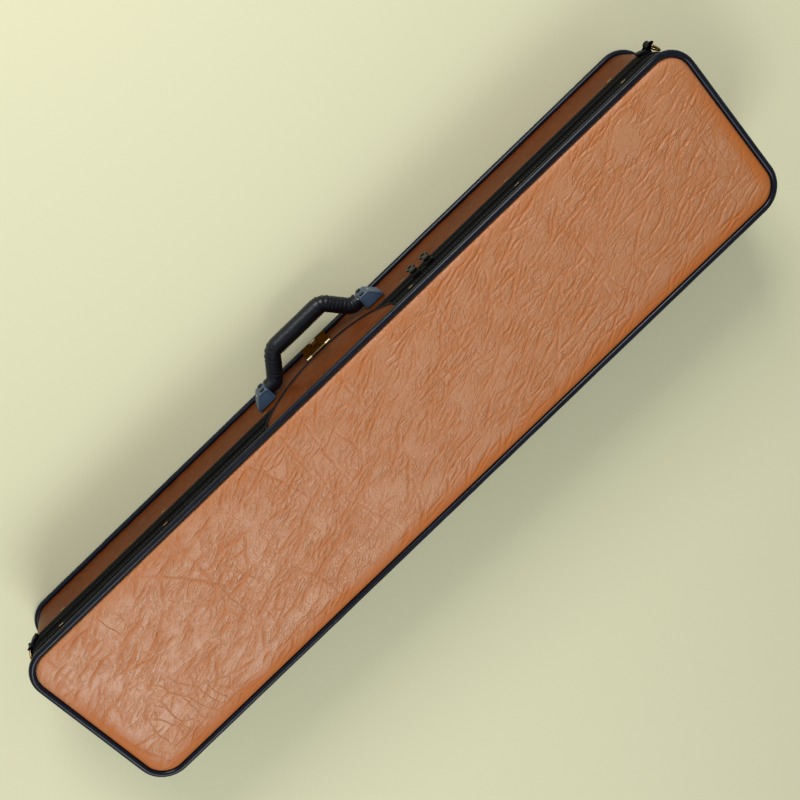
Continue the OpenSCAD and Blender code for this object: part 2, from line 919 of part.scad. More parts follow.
module slider(x) {
    out1 = slider_out + slider_t;
    tip = pull_axis_out + barrel_r;
    color([0.12, 0.12, 0.13]) union() {
        front_box(x - slider_w / 2, x + slider_w / 2, slider_out, out1,
            part_z - slider_h / 2, part_z + slider_h / 2);
        for (s = [-1, 1]) {
            front_box(x + s * (ear_gap + ear_t) / 2 - ear_t / 2, x + s * (ear_gap + ear_t) / 2 + ear_t / 2,
                out1 - 0.5, tip, pull_axis_z - barrel_r, pull_axis_z + barrel_r);
        }
        front_rod(x - ear_gap / 2 - eps, x + ear_gap / 2 + eps, pull_axis_out, pull_axis_z, pull_pin_r);
    }
}

module pull(x) {
    color([0.16, 0.16, 0.17]) difference() {
        union() {
            front_rod(x - pull_w / 2, x + pull_w / 2, pull_axis_out, pull_axis_z, barrel_r);
            front_box(x - pull_w / 2, x + pull_w / 2,
                pull_axis_out - pull_t / 2, pull_axis_out + pull_t / 2, pull_axis_z - pull_l, pull_axis_z);
            front_stud(x, pull_axis_z - pull_l, eye_r,
                pull_axis_out - pull_t / 2, pull_axis_out + pull_t / 2);
        }
        front_rod(x - pull_w, x + pull_w, pull_axis_out, pull_axis_z, pull_pin_r + pin_gap);
        front_stud(x, pull_axis_z - pull_l, eye_hole_r,
            pull_axis_out - pull_t, pull_axis_out + pull_t);
    }
}

module slider_left() {
    slider(slider_x);
}

module slider_right() {
    slider(slider_x - slider_pitch);
}

module pull_left() {
    pull(slider_x);
}

module pull_right() {
    pull(slider_x - slider_pitch);
}

base_shell();
base_wall_cover();
bottom_cover();
bottom_piping();
base_zip_tape();
base_zip_chain();
base_staples();
hinge_strip();
base_lining();
foam_head_front();
foam_mid_front();
foam_low_front();
foam_head_rear();
foam_mid_rear();
foam_low_rear();
soundbox_pad_front();
soundbox_pad_rear();
soundbox_pad_end();
neck_rest_head();
neck_rest_low();
accessory_box();
accessory_hinge_pin();
accessory_cover();
accessory_tab();
handle_tab_left();
handle_tab_right();
handle_rivets();
handle_grip();
handle_legs();
handle_toes();
handle_pins();
lock_case();
strap_anchor_left();
strap_anchor_right();
strap_ring_left();
strap_ring_right();
lid_shell();
lid_wall_cover();
lid_panel_cover();
lid_piping();
lid_zip_tape();
lid_zip_chain();
lid_staples();
lid_lining();
lock_flap();
flap_binding();
hasp_leaf();
hasp_pin();
hasp_plate();
latch_knob();
bow_post_left();
bow_post_right();
bow_button_left();
bow_button_right();
slider_left();
slider_right();
pull_left();
pull_right();
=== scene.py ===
import json
import math
import bmesh
import bpy
import numpy as np
from mathutils import Matrix, Vector


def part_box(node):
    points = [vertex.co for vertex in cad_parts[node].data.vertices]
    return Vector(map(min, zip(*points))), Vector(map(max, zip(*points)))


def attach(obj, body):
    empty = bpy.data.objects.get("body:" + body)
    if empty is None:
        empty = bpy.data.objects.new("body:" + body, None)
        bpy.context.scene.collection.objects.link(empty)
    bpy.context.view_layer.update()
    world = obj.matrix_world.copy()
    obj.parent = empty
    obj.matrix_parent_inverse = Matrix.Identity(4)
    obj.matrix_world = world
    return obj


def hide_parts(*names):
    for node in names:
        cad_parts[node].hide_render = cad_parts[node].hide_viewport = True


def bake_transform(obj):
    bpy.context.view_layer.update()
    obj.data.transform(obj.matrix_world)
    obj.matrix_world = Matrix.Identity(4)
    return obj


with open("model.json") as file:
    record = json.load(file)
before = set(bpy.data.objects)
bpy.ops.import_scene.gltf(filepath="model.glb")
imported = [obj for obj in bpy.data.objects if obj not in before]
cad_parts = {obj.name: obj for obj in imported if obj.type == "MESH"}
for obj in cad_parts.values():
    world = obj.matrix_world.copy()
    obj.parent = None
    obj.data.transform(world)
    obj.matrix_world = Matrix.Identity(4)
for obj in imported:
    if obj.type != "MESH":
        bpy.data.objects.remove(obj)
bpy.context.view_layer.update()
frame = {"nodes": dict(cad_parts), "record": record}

MM = 0.001
TAU = 2 * math.pi
MERGE = 2e-6  # points closer than this, in metres, become one


# ---------------------------------------------------------------- places read from the frame

def span(node):
    """Lowest and highest corner of a CAD node as arrays."""
    lo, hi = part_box(node)
    return np.array(lo), np.array(hi)


wall_lo, wall_hi = span("base_wall_cover")
half_l, half_w = wall_hi[0], wall_hi[1]
front_y = wall_lo[1]
corner_r = 26 * MM
top_panel_hi = span("lid_panel_cover")[1]
piping_lo, piping_hi = span("lid_piping")
cord_out = piping_hi[0] - (piping_hi[2] - piping_lo[2]) / 2 - half_l
zip_end_y = span("base_zip_tape")[1][1]
grip_x, grip_y, grip_z = sum(span("handle_grip")) / 2
HINGE = next(j for j in frame["record"]["behaviour"]["joints"] if j["name"] == "lid_hinge")["pos_m"]


# ---------------------------------------------------------------- mesh making

def smooth_ramp(t):
    """0 below t = 0, 1 above t = 1, and an S-shaped cubic between them."""
    t = np.clip(t, 0, 1)
    return t * t * (3 - 2 * t)


def soft_noise(x, y, cell, seed):
    """Random values on a square lattice of the given cell size, joined by S-shaped cubics; from -1 to 1."""
    table = np.random.default_rng(seed).uniform(-1, 1, (257, 257))
    u, v = np.asarray(x) / cell + 1000, np.asarray(y) / cell + 1000
    i, j = np.floor(u).astype(int), np.floor(v).astype(int)
    s, t = smooth_ramp(u - i), smooth_ramp(v - j)
    a, b, c, d = (table[(i + p) % 257, (j + q) % 257] for p, q in ((0, 0), (1, 0), (0, 1), (1, 1)))
    return (a * (1 - s) + b * s) * (1 - t) + (c * (1 - s) + d * s) * t


def finish_mesh(obj, material, body, replaces=(), smooth=True):
    """Shades the piece, gives it its material, its body and the CAD nodes that it stands for."""
    mesh = obj.data
    mesh.polygons.foreach_set("use_smooth", np.full(len(mesh.polygons), smooth))
    mesh.materials.clear()
    mesh.materials.append(material)
    if body:
        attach(obj, body)
    if replaces:
        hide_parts(*replaces)
    return obj


def mesh_object(name, points, faces):
    """An object at the origin from an array of points and an array of faces."""
    mesh = bpy.data.meshes.new(name)
    mesh.from_pydata(np.asarray(points, float).reshape(-1, 3).tolist(), [], faces)
    mesh.validate()
    mesh.update()
    obj = bpy.data.objects.new(name, mesh)
    bpy.context.scene.collection.objects.link(obj)
    return obj


def grid_faces(rows, cols, wrap_rows=False, wrap_cols=False):
    """Quads of a grid whose rows or columns may join back to the first."""
    r = np.arange(rows if wrap_rows else rows - 1)
    c = np.arange(cols if wrap_cols else cols - 1)
    r0, c0 = np.meshgrid(r, c, indexing="ij")
    r1, c1 = (r0 + 1) % rows, (c0 + 1) % cols
    return np.stack([r0 * cols + c0, r0 * cols + c1, r1 * cols + c1, r1 * cols + c0], -1).reshape(-1, 4)


def grid_object(name, points, wrap_rows=False, wrap_cols=False, uv=None, cap_ends=False):
    """A surface through a grid of points, turned so that its faces point outwards; its doubles are merged."""
    rows, cols = points.shape[:2]
    faces = grid_faces(rows, cols, wrap_rows, wrap_cols).tolist()
    if cap_ends:
        faces.append(list(range(cols))[::-1])
        faces.append([(rows - 1) * cols + k for k in range(cols)])
    obj = mesh_object(name, points, faces)
    mesh = obj.data
    if uv is not None and len(mesh.polygons) == len(faces):
        layer = mesh.uv_layers.new(name="along")
        index = np.empty(len(mesh.loops), int)
        mesh.loops.foreach_get("vertex_index", index)
        layer.data.foreach_set("uv", np.asarray(uv, float).reshape(-1, 2)[index].ravel())
    merge_and_turn(mesh)
    return obj


def merge_and_turn(mesh):
    """Merges doubles and turns the faces outwards."""
    work = bmesh.new()
    work.from_mesh(mesh)
    bmesh.ops.remove_doubles(work, verts=work.verts, dist=MERGE)
    bmesh.ops.recalc_face_normals(work, faces=work.faces)
    work.to_mesh(mesh)
    work.free()
    mesh.update()


def both_sides(face, back):
    """The closed loop round a thin sheet, row by row: along its face, then the other way along its back."""
    return np.concatenate([face, back[:, ::-1]], 1)


def small_prisms(name, points):
    """Many small closed prisms as one object, from points over (prism, four stations, sides)."""
    sides = points.shape[2]
    first = (np.arange(len(points)) * 4 * sides)[:, None, None]
    caps = np.stack([np.arange(sides)[::-1], 3 * sides + np.arange(sides)])
    quads = (grid_faces(4, sides, wrap_cols=True)[None] + first).reshape(-1, 4)
    obj = mesh_object(name, points, quads.tolist() + (caps[None] + first).reshape(-1, sides).tolist())
    merge_and_turn(obj.data)
    return obj


# ---------------------------------------------------------------- paths

def unit(vectors):
    """Vectors of length 1."""
    return vectors / np.linalg.norm(vectors, axis=-1, keepdims=True)


def distance_along(path):
    """Each point's distance from the first point along the path."""
    return np.concatenate([[0], np.cumsum(np.linalg.norm(np.diff(path, axis=0), axis=1))])


def read_at(s, along, values):
    """Rows read at the distances s, from rows of values at the distances along."""
    return np.stack([np.interp(s, along, column) for column in values.T], -1)


def spokes(side, lift, sides):
    """Directions at even steps round a section, for each pair of side and lift vectors."""
    phi = np.arange(sides) * TAU / sides
    return np.cos(phi)[:, None] * side[:, None] + np.sin(phi)[:, None] * lift[:, None]


def corner_arc(before, corner, after, r, count):
    """The arc that rounds a corner, tangent to the runs towards the points before and after it."""
    a, b = before - corner, after - corner
    a, b = a / np.linalg.norm(a), b / np.linalg.norm(b)
    half_turn = math.acos(np.clip(a @ b, -1, 1)) / 2
    centre = corner + (a + b) / np.linalg.norm(a + b) * r / math.sin(half_turn)
    first, last = (corner + v * r / math.tan(half_turn) - centre for v in (a, b))
    t = np.linspace(0, 1, count)[:, None]
    return centre + unit(first * (1 - t) + last * t) * r


def rounded_outline(corners, radii, step):
    """A polygon whose corners are rounded, as points anticlockwise at about even steps along its straight runs."""
    corners = np.array(corners, float)
    flat = np.concatenate([corner_arc(*three, r, 6) for *three, r in
                           zip(np.roll(corners, 1, 0), corners, np.roll(corners, -1, 0), radii)])
    runs = []
    for a, b in zip(flat, np.roll(flat, -1, 0)):
        count = max(1, round(np.linalg.norm(b - a) / step))
        runs.append(a + (b - a) * np.linspace(0, 1, count, endpoint=False)[:, None])
    return np.concatenate(runs)


def edge_round(r, z, count, top=False):
    """An edge's quarter round as pairs of inset and height: upwards from a lower face at z, or onto an upper one."""
    turns = np.linspace(0, math.pi / 2, count)
    if top:
        return [(r * (1 - math.cos(a)), z - r + r * math.sin(a)) for a in turns]
    return [(r * (1 - math.sin(a)), z + r * (1 - math.cos(a))) for a in turns]


def wall_outline(step=2.5 * MM, arc_steps=14):
    """Points round the plan at the wall's face, their outward normals and their distance along it: from the middle of
    the hinge side, four straights joined by quarter circles."""
    sx, sy = half_l - corner_r, half_w - corner_r
    runs = [((0, half_w), (-sx, half_w), (0, 1)), ((-half_l, sy), (-half_l, -sy), (-1, 0)),
            ((-sx, -half_w), (sx, -half_w), (0, -1)), ((half_l, -sy), (half_l, sy), (1, 0)),
            ((sx, half_w), (0, half_w), (0, 1))]
    arcs = [((-sx, sy), 90), ((-sx, -sy), 180), ((sx, -sy), 270), ((sx, sy), 0)]
    points, normals = [], []
    for k, (a, b, n) in enumerate(runs):
        a, b = np.array(a), np.array(b)
        count = max(2, round(np.linalg.norm(b - a) / step))
        t = np.linspace(0, 1, count, endpoint=False)[:, None]
        points.append(a + (b - a) * t)
        normals.append(np.repeat([n], count, 0).astype(float))
        if k < 4:
            centre, start = arcs[k]
            angle = np.radians(start + np.linspace(0, 90, arc_steps, endpoint=False))
            n = np.stack([np.cos(angle), np.sin(angle)], -1)
            points.append(np.array(centre) + corner_r * n)
            normals.append(n)
    points, normals = np.concatenate(points), np.concatenate(normals)
    return points, normals, distance_along(points)


def along_wall(points, normals, out, z):
    """The outline moved outwards by out and set at height z; both are numbers or arrays over (outline, profile)."""
    out, z, _ = np.broadcast_arrays(out, z, np.zeros((len(points), 1)))
    xy = points[:, None, :] + normals[:, None, :] * out[..., None]
    return np.concatenate([xy, z[..., None]], -1)


OUTLINE = wall_outline()
ZIP_PART = OUTLINE[0][:, 1] < zip_end_y


def zip_run():
    """The stretch of the outline that the zip covers: all of it but the hinge side."""
    return [values[ZIP_PART] for values in OUTLINE]


# ---------------------------------------------------------------- stitches, cords and stuffed blocks

STITCH_SHARE = 0.72  # how much of its pitch a stitch covers


def capsules(name, starts, ends, radius, ups):
    """Short stitches: each is a small five-sided prism along a chord, thinner at its ends."""
    chord = ends - starts
    length = np.linalg.norm(chord, axis=1, keepdims=True)
    chord = chord / length
    side = np.cross(chord, ups)
    flat = np.linalg.norm(side, axis=1) < 1e-3
    side[flat] = np.cross(chord[flat], [1.0, 0, 0])
    side = unit(side)
    stations, thick = np.array([0, 0.18, 0.82, 1]), np.array([0.45, 1, 1, 0.45]) * radius
    reach = (length * stations)[..., None, None]
    around = spokes(side, np.cross(side, chord), 5)
    return small_prisms(name, starts[:, None, None] + chord[:, None, None] * reach
                        + thick[:, None, None] * around[:, None])


def stitch_row(name, path, up, pitch, material, body, thread_r=0.35 * MM):
    """A row of stitches laid on a path at an even pitch; up is one direction or one for each point."""
    along = distance_along(path)
    starts = np.arange(pitch / 2, along[-1] - pitch, pitch)
    ups = read_at(starts, along, np.broadcast_to(np.array(up, float), path.shape))
    ends = read_at(starts + pitch * STITCH_SHARE, along, path)
    obj = capsules(name, read_at(starts, along, path), ends, thread_r, ups)
    return finish_mesh(obj, material, body)


def tube(name, path, radius, sides, closed=False, up=(0, 0, 1)):
    """A round section carried along a path; the radius is one number, or changes along the path or round it too."""
    tangent = unit(np.roll(path, -1, 0) - np.roll(path, 1, 0) if closed else np.gradient(path, axis=0))
    side = unit(np.cross(tangent, np.array(up, float)))
    if np.ndim(radius) < 2:
        radius = np.reshape(radius, (-1, 1))
    radius = np.broadcast_to(radius, (len(path), sides))
    points = path[:, None] + radius[..., None] * spokes(side, np.cross(side, tangent), sides)
    uv = np.stack(np.meshgrid(distance_along(path), np.arange(sides) / sides * 0.05, indexing="ij"), -1)
    return grid_object(name, points, wrap_rows=closed, wrap_cols=True, uv=uv, cap_ends=not closed)


def pillow_block(name, node, outline, z0, z1, edge, crown, material, seed, low_edge=2 * MM):
    """A stuffed block on a plan outline: rounded lower and upper edges, sides that bulge a little between them, and a
    top that rises to its middle line. Each ring of points is the outline moved inwards; past the edge the rings close
    on the nearest point of the middle line."""
    lo, hi = outline.min(0), outline.max(0)
    mid, size = (lo + hi) / 2, hi - lo
    long = 0 if size[0] >= size[1] else 1
    core = np.tile(mid, (len(outline), 1))
    reach = (size[long] - size[1 - long]) / 2
    core[:, long] = mid[long] + np.clip(outline[:, long] - mid[long], -reach, reach)
    half = size[1 - long] / 2
    start, side_z = 1 - edge / half, z1 - edge - z0 - low_edge
    profile = [(0.0, z0), (0.45, z0)]
    profile += [(1 - inset / half, z) for inset, z in edge_round(low_edge, z0, 4)]
    profile += [(1.0 + 0.004 * math.sin(math.pi * t), z0 + low_edge + side_z * t) for t in (0.25, 0.5, 0.75)]
    profile += [(1 - inset / half, z) for inset, z in edge_round(edge, z1, 7, top=True)]
    profile += [(start * (1 - t), z1 + crown * math.sin(t * math.pi / 2)) for t in (0.12, 0.25, 0.4, 0.6, 0.8, 1.0)]
    share, height = (np.array(column)[:, None] for column in zip(*profile))
    xy = core[None] + (outline - core)[None] * share[..., None]
    ruffle = 0.35 * MM * soft_noise(xy[..., 0], xy[..., 1] + height, 14 * MM, seed) * (height > z0 + low_edge)
    points = np.concatenate([xy, (height + ruffle)[..., None]], -1)
    uv = np.stack([points[..., 0] + points[..., 2], points[..., 1]], -1)
    return finish_mesh(grid_object(name, points, wrap_cols=True, uv=uv), material, "base", (node,))


# ---------------------------------------------------------------- materials

def node_group(name, inputs, outputs, build):
    """A shader node group; build(nodes, link, ins, outs) fills it."""
    group = bpy.data.node_groups.new(name, "ShaderNodeTree")
    for label, kind, value in inputs:
        socket = group.interface.new_socket(label, in_out="INPUT", socket_type=kind)
        if value is not None:
            socket.default_value = value
    for label, kind in outputs:
        group.interface.new_socket(label, in_out="OUTPUT", socket_type=kind)
    ins, outs = group.nodes.new("NodeGroupInput"), group.nodes.new("NodeGroupOutput")
    build(Maker(group), ins.outputs, outs.inputs)
    return group


class Maker:
    """Short calls that add nodes to a tree and join them."""

    def __init__(self, tree, material=None):
        self.tree, self.material = tree, material

    def paint(self, colour, rough, height, depth, strength):
        """Joins a colour, a roughness and a relief of this depth to the material's shader; returns the material."""
        inputs = self.tree.nodes["Principled BSDF"].inputs
        self.join(colour, inputs["Base Color"])
        self.join(rough, inputs["Roughness"])
        self.join(self.bump(height, depth, strength), inputs["Normal"])
        return self.material

    def join(self, value, socket):
        if isinstance(value, bpy.types.NodeSocket):
            self.tree.links.new(value, socket)
        elif value is not None:
            socket.default_value = value

    def math(self, op, a, b=None, c=None, clamp=False):
        node = self.tree.nodes.new("ShaderNodeMath")
        node.operation, node.use_clamp = op, clamp
        for value, socket in zip((a, b, c), node.inputs):
            self.join(value, socket)
        return node.outputs[0]

    def times(self, a, b):
        return self.math("MULTIPLY", a, b)

    def plus(self, a, b):
        return self.math("ADD", a, b)

    def flip(self, value):
        """One minus the value."""
        return self.math("SUBTRACT", 1.0, value)

    def noise(self, vector, scale, detail=3.0, rough=0.5, distort=0.0, kind="FBM", out="Fac"):
        node = self.tree.nodes.new("ShaderNodeTexNoise")
        node.noise_type = kind
        node.normalize = True
        self.join(vector, node.inputs["Vector"])
        for label, value in (("Scale", scale), ("Detail", detail), ("Roughness", rough), ("Distortion", distort)):
            self.join(value, node.inputs[label])
        return node.outputs[out]

    def shift(self, vector, colour, reach):
        """The vector moved by a colour, whose middle grey leaves it where it is."""
        centred = self.tree.nodes.new("ShaderNodeVectorMath")
        centred.operation = "SUBTRACT"
        self.join(colour, centred.inputs[0])
        centred.inputs[1].default_value = (0.5, 0.5, 0.5)
        moved = self.tree.nodes.new("ShaderNodeVectorMath")
        moved.operation = "MULTIPLY_ADD"
        self.join(centred.outputs[0], moved.inputs[0])
        moved.inputs[1].default_value = (reach, reach, reach)
        self.join(vector, moved.inputs[2])
        return moved.outputs[0]

    def cells(self, vector, scale, feature="F1", random=1.0, out="Distance"):
        node = self.tree.nodes.new("ShaderNodeTexVoronoi")
        node.feature = feature
        self.join(vector, node.inputs["Vector"])
        self.join(scale, node.inputs["Scale"])
        self.join(random, node.inputs["Randomness"])
        return node.outputs[out]

    def remap(self, value, low, high, to_low=0.0, to_high=1.0):
        node = self.tree.nodes.new("ShaderNodeMapRange")
        labels = "Value", "From Min", "From Max", "To Min", "To Max"
        for label, v in zip(labels, (value, low, high, to_low, to_high)):
            self.join(v, node.inputs[label])
        return node.outputs[0]

    def mix(self, factor, a, b, blend="MIX"):
        node = self.tree.nodes.new("ShaderNodeMix")
        node.data_type, node.blend_type = "RGBA", blend
        self.join(factor, node.inputs[0])
        self.join(a, node.inputs[6])
        self.join(b, node.inputs[7])
        return node.outputs[2]

    def mapping(self, vector, turn=(0, 0, 0), scale=(1, 1, 1)):
        """The vector in axes turned by these angles and then packed closer by these factors."""
        node = self.tree.nodes.new("ShaderNodeMapping")
        node.vector_type = "TEXTURE"
        self.join(vector, node.inputs["Vector"])
        node.inputs["Rotation"].default_value = turn
        node.inputs["Scale"].default_value = [1 / k for k in scale]
        return node.outputs[0]

    def xyz(self, vector):
        node = self.tree.nodes.new("ShaderNodeSeparateXYZ")
        self.join(vector, node.inputs[0])
        return node.outputs

    def group(self, group, **values):
        node = self.tree.nodes.new("ShaderNodeGroup")
        node.node_tree = group
        for label, value in values.items():
            self.join(value, node.inputs[label.replace("_", " ")])
        return node.outputs

    def coords(self, kind="Object"):
        if kind == "UV":
            node = self.tree.nodes.new("ShaderNodeUVMap")
            node.uv_map = "along"
            return node.outputs[0]
        return self.tree.nodes.new("ShaderNodeTexCoord").outputs[kind]

    def bump(self, height, distance, strength=1.0, normal=None):
        node = self.tree.nodes.new("ShaderNodeBump")
        node.inputs["Strength"].default_value = strength
        node.inputs["Distance"].default_value = distance
        self.join(height, node.inputs["Height"])
        self.join(normal, node.inputs["Normal"])
        return node.outputs[0]


def build_grain(m, i, o):
    """Leathercloth grain: small irregular cells with soft valleys between, over a fine tooth."""
    cell = m.cells(i["Vector"], i["Cell scale"])
    fine = m.noise(i["Vector"], m.times(i["Cell scale"], 2.3), 2.0)
    body = m.flip(m.math("POWER", cell, 1.6))
    m.join(m.plus(m.times(body, 0.7), m.times(fine, 0.3)), o["Height"])
    m.join(m.remap(cell, 0.35, 0.75), o["Valleys"])


def build_creases(m, i, o):
    """Press-creased leathercloth: sharp wrinkles along the edges of stretched, warped cells, most of them leaning
    off the length and a few running across; patches of finer wrinkles come and go, and soft swells lie between."""
    def scaled(k):
        return m.times(i["Scale"], k)

    def ribs(scale, stretch, turn, low, high):
        bent = m.noise(i["Vector"], scaled(0.7), 1.0, out="Color")
        v = m.mapping(m.shift(i["Vector"], bent, 0.012), turn=(0, 0, turn), scale=(1.0, stretch, 1.0))
        return m.remap(m.noise(v, scaled(scale), 1.5, 0.45), low, high)

    def edges(scale, stretch, turn, warp, width):
        bent = m.noise(i["Vector"], scaled(warp), 2.0, out="Color")
        v = m.mapping(m.shift(i["Vector"], bent, 0.009), turn=(0, 0, turn), scale=(1.0, stretch, 1.0))
        return m.remap(m.cells(v, scaled(scale), "DISTANCE_TO_EDGE"), 0.0, width)

    def patches(scale, low, high):
        return m.remap(m.noise(i["Vector"], scaled(scale), 2.0), low, high)

    def pressed(mask, line):
        return m.times(mask, m.flip(line))

    main = pressed(patches(0.34, 0.42, 0.58), ribs(1.05, 4.6, 0.32, 0.40, 0.53))
    fine = pressed(patches(0.46, 0.44, 0.60), ribs(1.9, 3.8, 0.52, 0.42, 0.56))
    net = pressed(patches(0.26, 0.42, 0.60), edges(0.85, 2.4, 0.30, 1.1, 0.13))
    cross = pressed(patches(0.18, 0.52, 0.62), edges(0.40, 2.6, 1.65, 0.7, 0.07))
    fine, net = m.times(fine, 0.7), m.times(net, 0.8)
    lines = m.math("MAXIMUM", m.math("MAXIMUM", main, fine), m.math("MAXIMUM", net, cross))
    swell = m.noise(m.mapping(i["Vector"], turn=(0, 0, 0.3), scale=(1.0, 2.8, 1.0)), i["Scale"], 2.0)
    m.join(m.plus(m.flip(m.times(lines, 0.55)), m.times(swell, 0.25)), o["Height"])
    m.join(lines, o["Lines"])


def build_tone(m, i, o):
    """Slow unevenness in colour and a finer mottle on top, from 0 to 1."""
    slow = m.noise(i["Vector"], i["Scale"], 2.0)
    fine = m.noise(i["Vector"], m.times(i["Scale"], 9.0), 3.0, 0.6)
    m.join(m.remap(m.plus(m.times(slow, 0.65), m.times(fine, 0.35)), 0.3, 0.7), o["Factor"])


def build_weave(m, i, o):
    """Plain weave: threads along and across take turns on top."""
    part = m.xyz(i["Vector"])
    a = m.math("SINE", m.times(part["X"], m.times(i["Threads"], TAU)))
    b = m.math("SINE", m.times(part["Y"], m.times(i["Threads"], TAU)))
    over = m.times(a, b)
    m.join(m.remap(over, -1.0, 1.0), o["Height"])
    m.join(m.remap(m.math("ABSOLUTE", over), 0.0, 0.35), o["Gaps"])


def build_scuff(m, i, o):
    """Fine handling marks: short stretched scratches that thin out in patches."""
    v = m.mapping(i["Vector"], turn=(0.2, 0.1, 0.7), scale=(1.0, 14.0, 6.0))
    marks = m.remap(m.noise(v, i["Scale"], 3.0, 0.6), 0.58, 0.72)
    patch = m.remap(m.noise(i["Vector"], m.times(i["Scale"], 0.12), 2.0), 0.42, 0.62)
    m.join(m.times(marks, patch), o["Marks"])


def vector_group(name, size_label, size, outputs, build):
    """A node group with the usual inputs, a vector and one number, and number outputs."""
    number = "NodeSocketFloat"
    return node_group(name, [("Vector", "NodeSocketVector", None), (size_label, number, size)],
                      [(label, number) for label in outputs], build)


GRAIN = vector_group("leathercloth_grain", "Cell scale", 900.0, ("Height", "Valleys"), build_grain)
CREASES = vector_group("pressed_creases", "Scale", 60.0, ("Height", "Lines"), build_creases)
TONE = vector_group("uneven_tone", "Scale", 12.0, ("Factor",), build_tone)
WEAVE = vector_group("plain_weave", "Threads", 900.0, ("Height", "Gaps"), build_weave)
SCUFF = vector_group("handling_marks", "Scale", 120.0, ("Marks",), build_scuff)


def new_material(name, roughness=0.5, metallic=0.0, sheen=0.0, specular=0.5, edge=(1, 1, 1)):
    """The maker of a new material's tree; edge tints its reflections."""
    material = bpy.data.materials.new(name)
    material.use_nodes = True
    shader = material.node_tree.nodes["Principled BSDF"]
    for label, value in (("Roughness", roughness), ("Metallic", metallic), ("Sheen Weight", sheen),
                         ("Specular IOR Level", specular), ("Specular Tint", (*edge, 1))):
        shader.inputs[label].default_value = value
    return Maker(material.node_tree, material)


def creased_leather():
    """Tan press-creased leathercloth: pinkish tan high ground, painted paler towards +X as a painted highlight,
    orange-brown painted shade in the creases, the grain's valleys and at the tucked edge, a soft gloss."""
    m = new_material("creased_tan_leathercloth", specular=0.58)
    v = m.coords()
    crease_and_shade, grain = m.group(CREASES, Vector=v, Scale=78.0), m.group(GRAIN, Vector=v, Cell_scale=520.0)
    tone = m.group(TONE, Vector=v, Scale=7.0)["Factor"]
    # painted highlight: the high ground is painted paler and pinker towards +X, where a gloss falls on the lid, and
    # deeper towards -X
    along = m.remap(m.xyz(v)["X"], -0.42, 0.42)
    share = m.plus(m.times(tone, 0.4), m.times(along, 0.6))
    ground = m.mix(share, (0.445, 0.184, 0.070, 1), (0.495, 0.240, 0.126, 1))
    # painted shade: crease lines painted darker orange-brown, as the shade in their valleys
    colour = m.mix(m.times(crease_and_shade["Lines"], 0.68), ground, (0.43, 0.128, 0.018, 1))
    # painted shade: the grain's valleys painted darker
    colour = m.mix(m.times(grain["Valleys"], 0.25), colour, (0.38, 0.110, 0.025, 1))
    # painted shade: this point attribute holds the creases' depth and the band inside the panel's edge, both painted
    # dark orange here
    depth = m.tree.nodes.new("ShaderNodeAttribute")
    depth.attribute_name = "crease_and_shade"
    colour = m.mix(depth.outputs["Fac"], colour, (0.42, 0.108, 0.006, 1))
    rough = m.plus(m.remap(tone, 0.0, 1.0, 0.34, 0.44), m.times(depth.outputs["Fac"], 0.3))
    height = m.plus(crease_and_shade["Height"], m.times(grain["Height"], 0.32))
    smoother = m.flip(m.times(depth.outputs["Fac"], 0.7))
    return m.paint(colour, rough, m.times(height, smoother), 1.1 * MM, 1.0)


def plain_leather(name, low, high, cell, roughness, bump, crease_scale=None, marks=0.0, specular=0.5):
    """Grained leathercloth or vinyl between two tones, with or without creases, whose lines are painted darker as
    shade, and handling marks.
    """
    m = new_material(name, specular=specular)
    v = m.coords()
    grain, tone = m.group(GRAIN, Vector=v, Cell_scale=cell), m.group(TONE, Vector=v, Scale=14.0)["Factor"]
    colour = m.mix(tone, (*low, 1), (*high, 1))
    height = m.times(grain["Height"], 0.5)
    if crease_scale:
        crease_and_shade = m.group(CREASES, Vector=v, Scale=crease_scale)
        # painted shade: crease lines painted darker, as the shade in their valleys
        colour = m.mix(m.times(crease_and_shade["Lines"], 0.5), colour, (*[c * 0.55 for c in low], 1))
        height = m.plus(height, crease_and_shade["Height"])
    rough = m.remap(tone, 0.0, 1.0, roughness - 0.06, roughness + 0.06)
    if marks:
        scuff = m.group(SCUFF, Vector=v, Scale=160.0)["Marks"]
        rough = m.plus(rough, m.times(scuff, marks))
    return m.paint(colour, rough, height, bump, 0.6)


def woven(name, low, high, threads, roughness=0.85, sheen=0.1, coords="UV", specular=0.3):
    """Woven tape: plain weave with painted shade in the gaps between threads, and slow tone changes."""
    m = new_material(name, sheen=sheen, specular=specular)
    v = m.coords(coords)
    weave = m.group(WEAVE, Vector=v, Threads=threads)
    tone = m.group(TONE, Vector=m.coords(), Scale=25.0)["Factor"]
    colour = m.mix(tone, (*low, 1), (*high, 1))
    # painted shade: the gaps between threads painted darker
    colour = m.mix(m.flip(weave["Gaps"]), colour, (*[c * 0.4 for c in low], 1))
    rough = m.remap(tone, 0.0, 1.0, roughness - 0.08, roughness + 0.05)
    return m.paint(colour, rough, weave["Height"], 0.25 * MM, 0.7)


def metal(name, low, high, roughness, metallic=1.0, edge=(1, 1, 1)):
    """Plated or enamelled metal: two close tones, handling marks that roughen it, a faintly uneven face."""
    m = new_material(name, metallic=metallic, edge=edge)
    v = m.coords()
    tone, scuff = m.group(TONE, Vector=v, Scale=60.0)["Factor"], m.group(SCUFF, Vector=v, Scale=420.0)["Marks"]
    rough = m.plus(m.remap(tone, 0.0, 1.0, roughness - 0.05, roughness + 0.05), m.times(scuff, 0.25))
    return m.paint(m.mix(tone, (*low, 1), (*high, 1)), rough, m.noise(v, 700.0, 2.0), 0.02 * MM, 0.5)


